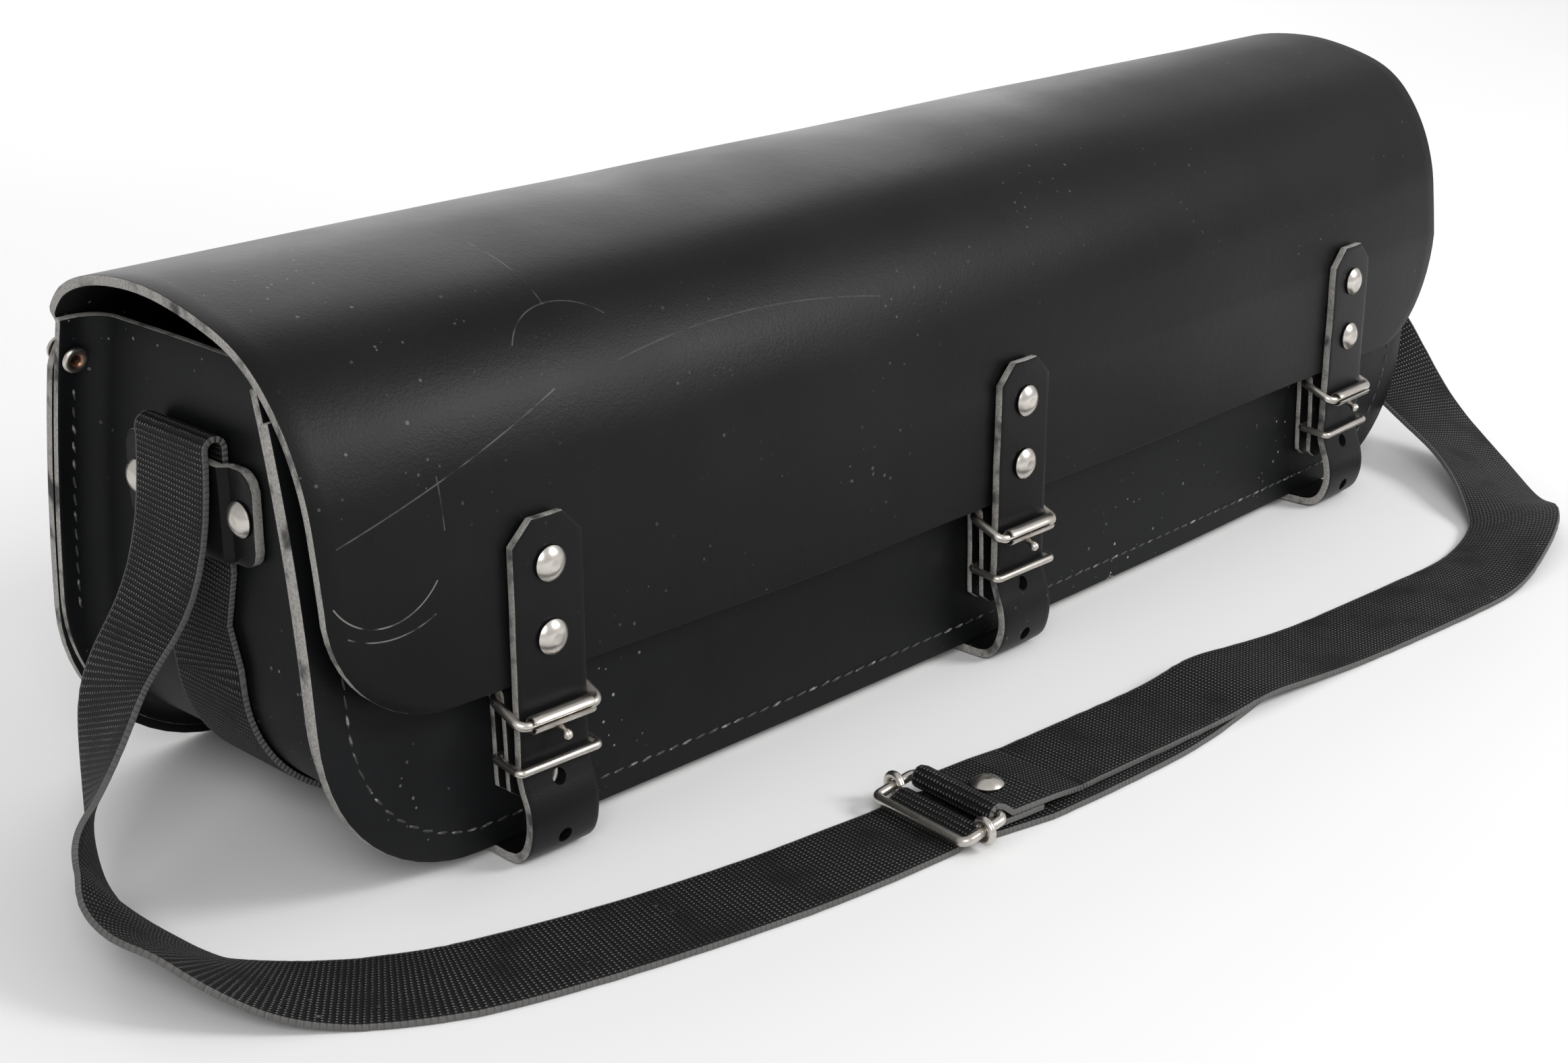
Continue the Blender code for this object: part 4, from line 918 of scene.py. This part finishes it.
def prong(name, x, finish):
    hinge = Vector((x, *hinge_place(x)))
    start, tip = prong_line(x)
    spoke = start - hinge
    along = (tip - start).normalized()
    points = []
    for turn in even(270.0, 0.0, 16):
        turn = math.radians(turn)
        points.append(hinge + spoke * math.cos(turn) - along * spoke.length * math.sin(turn))
    points += [start + (tip - start) * share for share in (0.3, 0.6, 0.8, 0.86, 0.9, 0.94, 0.97, 1.0)]
    piece = bent_wire(points, PRONG_WIRE, False, 1.45)
    settle(piece, f"prong_{name}", [finish], [f"buckle_prong_{name}"])


def cap_outline(diameter, height, grip, burr_thickness):
    """A domed cap with a rolled rim and a dimple, its shank and its burr."""
    cap, burr, shank = diameter / 2.0, BURR_DIAMETER / 2.0, SHANK_DIAMETER / 2.0
    end = -grip - GAP - burr_thickness
    outline = [(0.0, end), (burr, end), (burr, -grip - GAP), (shank, -grip - GAP)]
    outline += [(shank, GAP), (cap * 0.93, GAP), (cap, GAP + height * 0.12)]
    for share in (1.0, 0.97, 0.92, 0.84, 0.72, 0.56, 0.4, 0.3):
        outline.append((cap * share, GAP + height * (1.0 - 0.76 * share**2.8)))
    dimple = ((0.24, 0.965), (0.12, 0.955), (0.0, 0.955))
    return outline + [(cap * share, GAP + height * rise) for share, rise in dimple]


def rivet(name, node, foot, axis, grip, finish, size=(CAP_DIAMETER, CAP_HEIGHT), burr=BURR_THICKNESS):
    piece = spun(cap_outline(*size, grip, burr), foot, axis)
    settle(piece, name, [finish], [node], 40.0)


def closures(leather, edge, nickel):
    """Each closure is built square to the bag, then turned to lie along the bowed front."""
    forward, size = (0.0, -1.0, 0.0), (CHAPE_CAP_DIAMETER, CHAPE_CAP_HEIGHT)
    for name, share in CLOSURES:
        x = share * CLOSURE_PITCH
        hinge, roller = hinge_place(x), roller_place(x)
        half = STRAP_WIDTH / 2.0 + 2.0 * GAP + WIRE / 2.0
        first = len(pieces_made)
        closure_strap(name, x, [leather, edge])
        chape(name, x, [leather, edge])
        ring = bent_wire(ring_points(x, hinge, roller, half, WIRE), WIRE, True)
        settle(ring, f"frame_{name}", [nickel], [f"buckle_frame_{name}"])
        split_roller(name, x, roller, nickel)
        prong(name, x, nickel)
        back = front_face(x, KEEPER_HEIGHT) - 2.0 * GAP - CHAPE_LEATHER - WIRE / 2.0
        front = strap_line(x) - STRAP_LEATHER / 2.0 - 2.5 * GAP - KEEPER_WIRE / 2.0
        half = STRAP_WIDTH / 2.0 + 3.0 * GAP + KEEPER_WIRE / 2.0
        low = KEEPER_HEIGHT - KEEPER_WIRE / 2.0
        loop = ring_points(x, (back, KEEPER_HEIGHT), (front, low), half, 0.6 * KEEPER_WIRE)
        ring = bent_wire(loop, KEEPER_WIRE, True)
        settle(ring, f"keeper_{name}", [nickel], [f"strap_keeper_{name}"])
        face = strap_line(x) - STRAP_LEATHER / 2.0
        grip = STRAP_LEATHER + GAP + LEATHER
        for place, z in zip(("upper", "lower"), closure_rivet_heights()):
            node = f"closure_rivet_{name}_{place}"
            rivet(f"strap_cap_{name}_{place}", node, (x, face, z), forward, grip, nickel)
        for place, z in zip(("upper", "lower"), CHAPE_RIVETS):
            front = chape_front(x, z) - CHAPE_LEATHER / 2.0
            label, node = f"chape_cap_{name}_{place}", f"chape_rivet_{name}_{place}"
            through = front_face(x, z) + LEATHER - front
            rivet(label, node, (x, front, z), forward, through, nickel, size)
        pivot = Vector((x, strap_line(x), 0.0)) * MM
        turn = Matrix.Rotation(math.atan(8.0 * FRONT_BOW * x / LENGTH**2 + RIGHT_SETBACK / LENGTH), 4, "Z")
        for piece in pieces_made[first:]:
            move_mesh(piece, Matrix.Translation(pivot) @ turn @ Matrix.Translation(-pivot))


# The webbing, its bridges and its slider


def bridges(finishes, nickel):
    clear = WEBBING_WIDTH / 2.0 + 2.0 * GAP
    half_length, half_height = BRIDGE_LENGTH / 2.0, BRIDGE_HEIGHT / 2.0
    for name, side in ENDS:
        rows = []
        for y in across_columns(half_length, 64):
            drawn = max(abs(y) - (half_length - BRIDGE_CHAMFER), 0.0) / BRIDGE_CHAMFER
            draw = BRIDGE_CHAMFER * (1.0 - math.sqrt(max(1.0 - drawn**2, 0.0))) * 0.9
            share = min(max((clear + BRIDGE_RISE - abs(y)) / BRIDGE_RISE, 0.0), 1.0)
            rise = GAP + (BRIDGE_RISE - GAP) * (3.0 * share**2 - 2.0 * share**3)
            x = side * (GUSSET_HALF + rise + 0.3 * share)
            row = []
            for z in across_columns(half_height - draw, 10):
                point = Vector((x, y, BRIDGE_MIDDLE + z))
                point.x += side * abs(uneven(point, 12.0, 0.3))
                row.append(point)
            rows.append(row)
        piece = lay(rows, LEATHER, -side, 0.5)
        settle(piece, f"bridge_leather_{name}", finishes, [f"strap_bridge_{name}"], 40.0)
        grip = LEATHER + GAP + GUSSET_LEATHER
        for place, y in (("front", -BRIDGE_RIVET_PITCH / 2.0), ("back", BRIDGE_RIVET_PITCH / 2.0)):
            face = (side * (GUSSET_HALF + GAP + LEATHER), y, BRIDGE_MIDDLE)
            node = f"bridge_rivet_{name}_{place}"
            rivet(f"bridge_cap_{name}_{place}", node, face, (side, 0.0, 0.0), grip, nickel)


def tube_rivets(nickel, copper):
    bore, shank = TUBE_RIVET_BORE / 2.0, SHANK_DIAMETER / 2.0 + GAP
    burr, head = BURR_DIAMETER / 2.0, TUBE_RIVET_DIAMETER / 2.0
    grip = LEATHER + GUSSET_LEATHER + 6.0 * GAP
    outline = [(bore, -GAP - BURR_THICKNESS), (burr, -GAP - BURR_THICKNESS), (burr, -GAP), (shank, -GAP)]
    outline += [(shank, grip), (head, grip), (head, grip + 0.4), (head * 0.93, grip + 0.9)]
    outline += [(head * 0.8, grip + 1.15), (head * 0.62, grip + 1.1), (head * 0.48, grip + 0.8)]
    outline += [(bore, grip + 0.2), (bore, -GAP - BURR_THICKNESS)]
    forward = -back_normal(TUBE_RIVET_HEIGHT)
    for name, side in ENDS:
        x = side * (LENGTH / 2.0 - TUBE_RIVET_DIAMETER / 2.0 - 2.0 * GAP)
        foot = (x, back_face(TUBE_RIVET_HEIGHT), TUBE_RIVET_HEIGHT)
        piece = spun(outline, foot, forward)
        settle(piece, f"tube_rivet_{name}", [nickel, copper], [f"corner_rivet_{name}"], 40.0)
        middle = Vector(foot) * MM
        for face in piece.data.polygons:
            away = face.center - middle
            if (away - forward * away.dot(forward)).length < head * 0.66 * MM:
                face.material_index = 1


def table_rows(table, steps):
    """Rows of the webbing from a table of its way."""
    middles, directions = [], []
    for x, y, z, turn, lift in table:
        turn, lift = math.radians(turn), math.radians(lift)
        level = math.cos(lift)
        rise = abs(math.sin(lift)) * WEBBING_WIDTH / 2.0 + level * WEBBING_THICKNESS / 2.0
        middles.append(Vector((LENGTH / 2.0 * x, DEPTH / 2.0 * y, SEAM_HEIGHT * z + rise)))
        directions.append(Vector((level * math.cos(turn), level * math.sin(turn), math.sin(lift))))
    return list(zip(smooth(middles, steps), smooth(directions, steps)))


def slider_rows(spots):
    across = slider_spot(0.0, 0.0, 1.0) - slider_spot(0.0, 0.0)
    return [(slider_spot(along, height), across) for along, height in spots]


def loop_levels():
    short = SLIDER_RIGHT_HEIGHT - (SLIDER_WIRE + WEBBING_THICKNESS) / 2.0 - 3.0 * GAP
    return short, short + WEBBING_THICKNESS + GAP


def loop_rows():
    radius = (SLIDER_WIRE + WEBBING_THICKNESS) / 2.0 + GAP
    bar, height = SLIDER_PITCH / 2.0, SLIDER_RIGHT_HEIGHT
    short, long = loop_levels()
    rows = [(LOOP_LENGTH, short), (LOOP_RIVET, short), (bar + radius, short), (bar, height - radius)]
    for turn in even(-100.0, -270.0, 15):
        turn = math.radians(turn)
        rows.append((bar + radius * math.cos(turn), height + radius * math.sin(turn)))
    flat = LOOP_RIVET - CAP_DIAMETER / 2.0
    rows += [(bar + radius * 0.9, height + radius * 0.62), (flat, long), (LOOP_RIVET, long)]
    return slider_rows(rows + [(LOOP_LENGTH + 3.0, long)])


def slider_bar_height():
    frame_height = (SLIDER_LEFT_HEIGHT + SLIDER_RIGHT_HEIGHT) / 2.0
    return frame_height - (SLIDER_WIRE + SLIDER_BAR_WIRE) / 2.0 - GAP


def slider_pass_rows():
    under = WEBBING_THICKNESS / 2.0 + GAP
    over = slider_bar_height() + (SLIDER_BAR_WIRE + WEBBING_THICKNESS) / 2.0 + GAP
    edge = SLIDER_PITCH / 2.0
    spots = [(-edge * 1.6, under), (-edge * 0.95, under + GAP), (-edge * 0.35, under + (over - under) * 0.75)]
    spots += [(0.0, over), (edge * 0.3, under + (over - under) * 0.8)]
    spots += [(edge * 0.8, under + (over - under) * 0.15), (edge * 1.4, under)]
    return slider_rows(spots)


def wall_rows(side):
    x = side * (GUSSET_HALF + GAP + WEBBING_THICKNESS / 2.0)
    return [(Vector((x, DEPTH / 2.0 * y, BRIDGE_MIDDLE * z)), Vector((0.0, 1.0, 0.0))) for y, z in WALL_RUN]


def base_rows():
    radius = CORNER_RADIUS - END_FLANGE + GAP + WEBBING_THICKNESS / 2.0
    centre = GUSSET_HALF - (CORNER_RADIUS - END_FLANGE)
    height = GUSSET_BASE + CORNER_RADIUS - END_FLANGE
    arc = [(centre + radius * math.cos(t), height - radius * math.sin(t)) for t in quarter_turn(18)]
    spots = arc + [(0.0, height - radius)] + [(-x, z) for x, z in reversed(arc)]
    return [(Vector((x, 0.0, z)), Vector((0.0, 1.0, 0.0))) for x, z in spots]


def fold_rows(side):
    inside = GUSSET_HALF + GAP + WEBBING_THICKNESS / 2.0
    outside = GUSSET_HALF + BRIDGE_RISE + 4.0 * GAP + LEATHER + WEBBING_THICKNESS / 2.0
    radius = (outside - inside) / 2.0
    top = BRIDGE_MIDDLE + BRIDGE_HEIGHT / 2.0
    rows = [(outside, top - BRIDGE_HEIGHT * share) for share in (1.2, 0.8, 0.5, 0.2, 0.0)]
    high = top + FOLD_RISE - radius
    for turn in even(0.0, math.pi, 16):
        rows.append((inside + radius + radius * math.cos(turn), high + radius * math.sin(turn)))
    rows.append((inside, top))
    return [(Vector((side * x, 0.0, z)), Vector((0.0, 1.0, 0.0))) for x, z in rows]


def eased(rows, passes):
    """Evens out the turns between neighbouring rows, its two ends held."""
    for _ in range(passes):
        inner = []
        for before, here, after in zip(rows, rows[1:], rows[2:]):
            across = before[1].normalized() + here[1].normalized() * 2.0 + after[1].normalized()
            inner.append(((before[0] + here[0] * 2.0 + after[0]) / 4.0, across / 4.0))
        rows = [rows[0]] + inner + [rows[-1]]
    return rows


def band_rows():
    """The webbing's middle line and the way across it, from the slider's loop round to its tail."""
    outside = 5
    right_run, right_fold = table_rows(RIGHT_RUN, 8), fold_rows(1.0)
    left_fold, left_run = list(reversed(fold_rows(-1.0))), table_rows(LEFT_RUN, 8)
    right = eased(right_run[8:] + right_fold[:outside], 10)
    left = eased(left_fold[-outside:] + left_run[:-8], 10)
    rows = loop_rows() + right_run[:8] + right + right_fold[outside:] + wall_rows(1.0) + base_rows()
    rows += list(reversed(wall_rows(-1.0))) + left_fold[:-outside] + left + left_run[-8:]
    return rows + slider_pass_rows() + table_rows(TAIL_RUN, 6)


def carrying_strap(finish):
    rows = []
    band_middles = band_rows()
    for index, (middle, across) in enumerate(band_middles):
        after = band_middles[min(index + 1, len(band_middles) - 1)][0]
        along = (after - band_middles[max(index - 1, 0)][0]).normalized()
        across = (across - along * across.dot(along)).normalized()
        face = along.cross(across)
        half = across * (WEBBING_WIDTH / 2.0)
        lowest = GAP + abs(half.z) + abs(face.z) * WEBBING_THICKNESS / 2.0
        centre = Vector((middle.x, middle.y, max(middle.z, lowest)))
        row = []
        for share in across_columns(1.0, 10):
            fray = 0.25 * noise.noise(Vector((index * 0.9, share * 5.0, 3.0))) if abs(share) == 1.0 else 0.0
            row.append(centre + half * share + across * fray * share)
        rows.append(row)
    piece = lay(rows, WEBBING_THICKNESS, 0.0, 0.4)
    settle(piece, "webbing_band", [finish, finish], ["carrying_strap"], 50.0)


def slider(nickel):
    half = WEBBING_WIDTH / 2.0 + 3.0 * GAP + SLIDER_WIRE / 2.0
    radius = SLIDER_WIRE * 0.75
    rise = (SLIDER_RIGHT_HEIGHT - SLIDER_LEFT_HEIGHT) / SLIDER_PITCH
    middle_height = (SLIDER_LEFT_HEIGHT + SLIDER_RIGHT_HEIGHT) / 2.0
    edge = SLIDER_PITCH / 2.0
    points = []
    for along_side, across_side in ((1.0, 1.0), (-1.0, 1.0), (-1.0, -1.0), (1.0, -1.0)):
        arc = []
        for turn in quarter_turn(8):
            along = along_side * (edge - radius + radius * math.cos(turn))
            across = across_side * (half - radius + radius * math.sin(turn))
            arc.append(slider_spot(along, middle_height + rise * along, across))
        points += arc if along_side * across_side > 0.0 else list(reversed(arc))
    settle(bent_wire(points, SLIDER_WIRE, True), "slider_ring", [nickel], ["slider_frame"])
    hook = (SLIDER_WIRE + SLIDER_BAR_WIRE) / 2.0 + GAP
    turns = [math.radians(turn) for turn in even(-90.0, 162.0, 14)]
    right = [(half + hook * math.cos(turn), middle_height + hook * math.sin(turn)) for turn in turns]
    line = [(-across, height) for across, height in reversed(right)] + right
    bar = [slider_spot(0.0, height, across) for across, height in line]
    settle(bent_wire(bar, SLIDER_BAR_WIRE, False), "slider_middle_bar", [nickel], ["slider_bar"])
    short, long = loop_levels()
    foot = slider_spot(LOOP_RIVET, long + WEBBING_THICKNESS / 2.0)
    grip, up = long - short + WEBBING_THICKNESS, (0.0, 0.0, 1.0)
    rivet("webbing_cap", "webbing_rivet", foot, up, grip, nickel, burr=1.5 * GAP)


# The studio


def studio(floor_look):
    bpy.ops.mesh.primitive_grid_add(x_subdivisions=2, y_subdivisions=2, size=12.0)
    floor = bpy.context.object
    floor.name = "studio_floor"
    floor.data.materials.append(floor_look)
    world = bpy.data.worlds.new("studio")
    bpy.context.scene.world = world
    world.use_nodes = True
    sky = world.node_tree.nodes["Background"]
    feed(world.node_tree, sky, [("Color", (1.0, 1.0, 1.0, 1.0)), ("Strength", 0.62)])
    for name, place, aim, size, strength in LIGHTS:
        bpy.ops.object.light_add(type="AREA", location=Vector(place) + SHIFT)
        light = bpy.context.object
        light.name = name
        light.data.shape = "SQUARE"
        light.data.size = size
        light.data.energy = strength
        light.rotation_euler = (Vector(aim) - Vector(place)).to_track_quat("-Z", "Y").to_euler()
    bpy.ops.object.camera_add(location=Vector(CAMERA_PLACE) + SHIFT)
    camera = bpy.context.object
    camera.name = "photo_camera"
    camera.rotation_euler = (math.radians(90.0 - CAMERA_DOWN), 0.0, math.radians(-CAMERA_TURN))
    camera.data.sensor_width = 36.0
    camera.data.lens = CAMERA_LENS
    camera.data.clip_start = 0.02
    bpy.context.scene.camera = camera
    bpy.context.scene.view_settings.view_transform = "Standard"


def main():
    grain, dust, arc, handled = grain_group(), dust_group(), arc_group(), handled_group()
    looks = {
        # colour, roughness, specks, scratches
        "black_flap_leather": ((0.0030, 0.0032, 0.0031), (0.34, 0.46), 0.25, SCRATCHES),
        "black_panel_leather": ((0.0034, 0.0037, 0.0041), (0.4, 0.54), 0.6),
        "black_strap_leather": ((0.0036, 0.0036, 0.0038), (0.3, 0.42), 0.2),
    }
    flap, body, strap = [leather_finish(name, grain, dust, arc, *look) for name, look in looks.items()]
    edge, webbing = edge_finish(), webbing_finish(dust)
    nickel, copper, thread = nickel_finish(handled), copper_finish(handled), thread_finish()
    back_and_flap([flap, edge])
    front_panel([body, edge])
    gusset([body, edge])
    stitches("front_stitches", seam_path(STITCH_INSET), front_face, thread)
    stitches("back_stitches", seam_path(FLANGE_STITCH_INSET), lambda x, z: back_face(z), thread)
    depth = LEATHER + GAP + GUSSET_LEATHER
    for name, side in ENDS:
        stitches(f"flange_stitches_{name}", flange_path(side), lambda x, z: back_face(z) - depth, thread)
    closures(strap, edge, nickel)
    bridges([strap, edge], nickel)
    tube_rivets(nickel, copper)
    carrying_strap(webbing)
    slider(nickel)
    for piece in pieces_made:
        move_mesh(piece, Matrix.Translation(SHIFT))
    studio(floor_finish())


main()
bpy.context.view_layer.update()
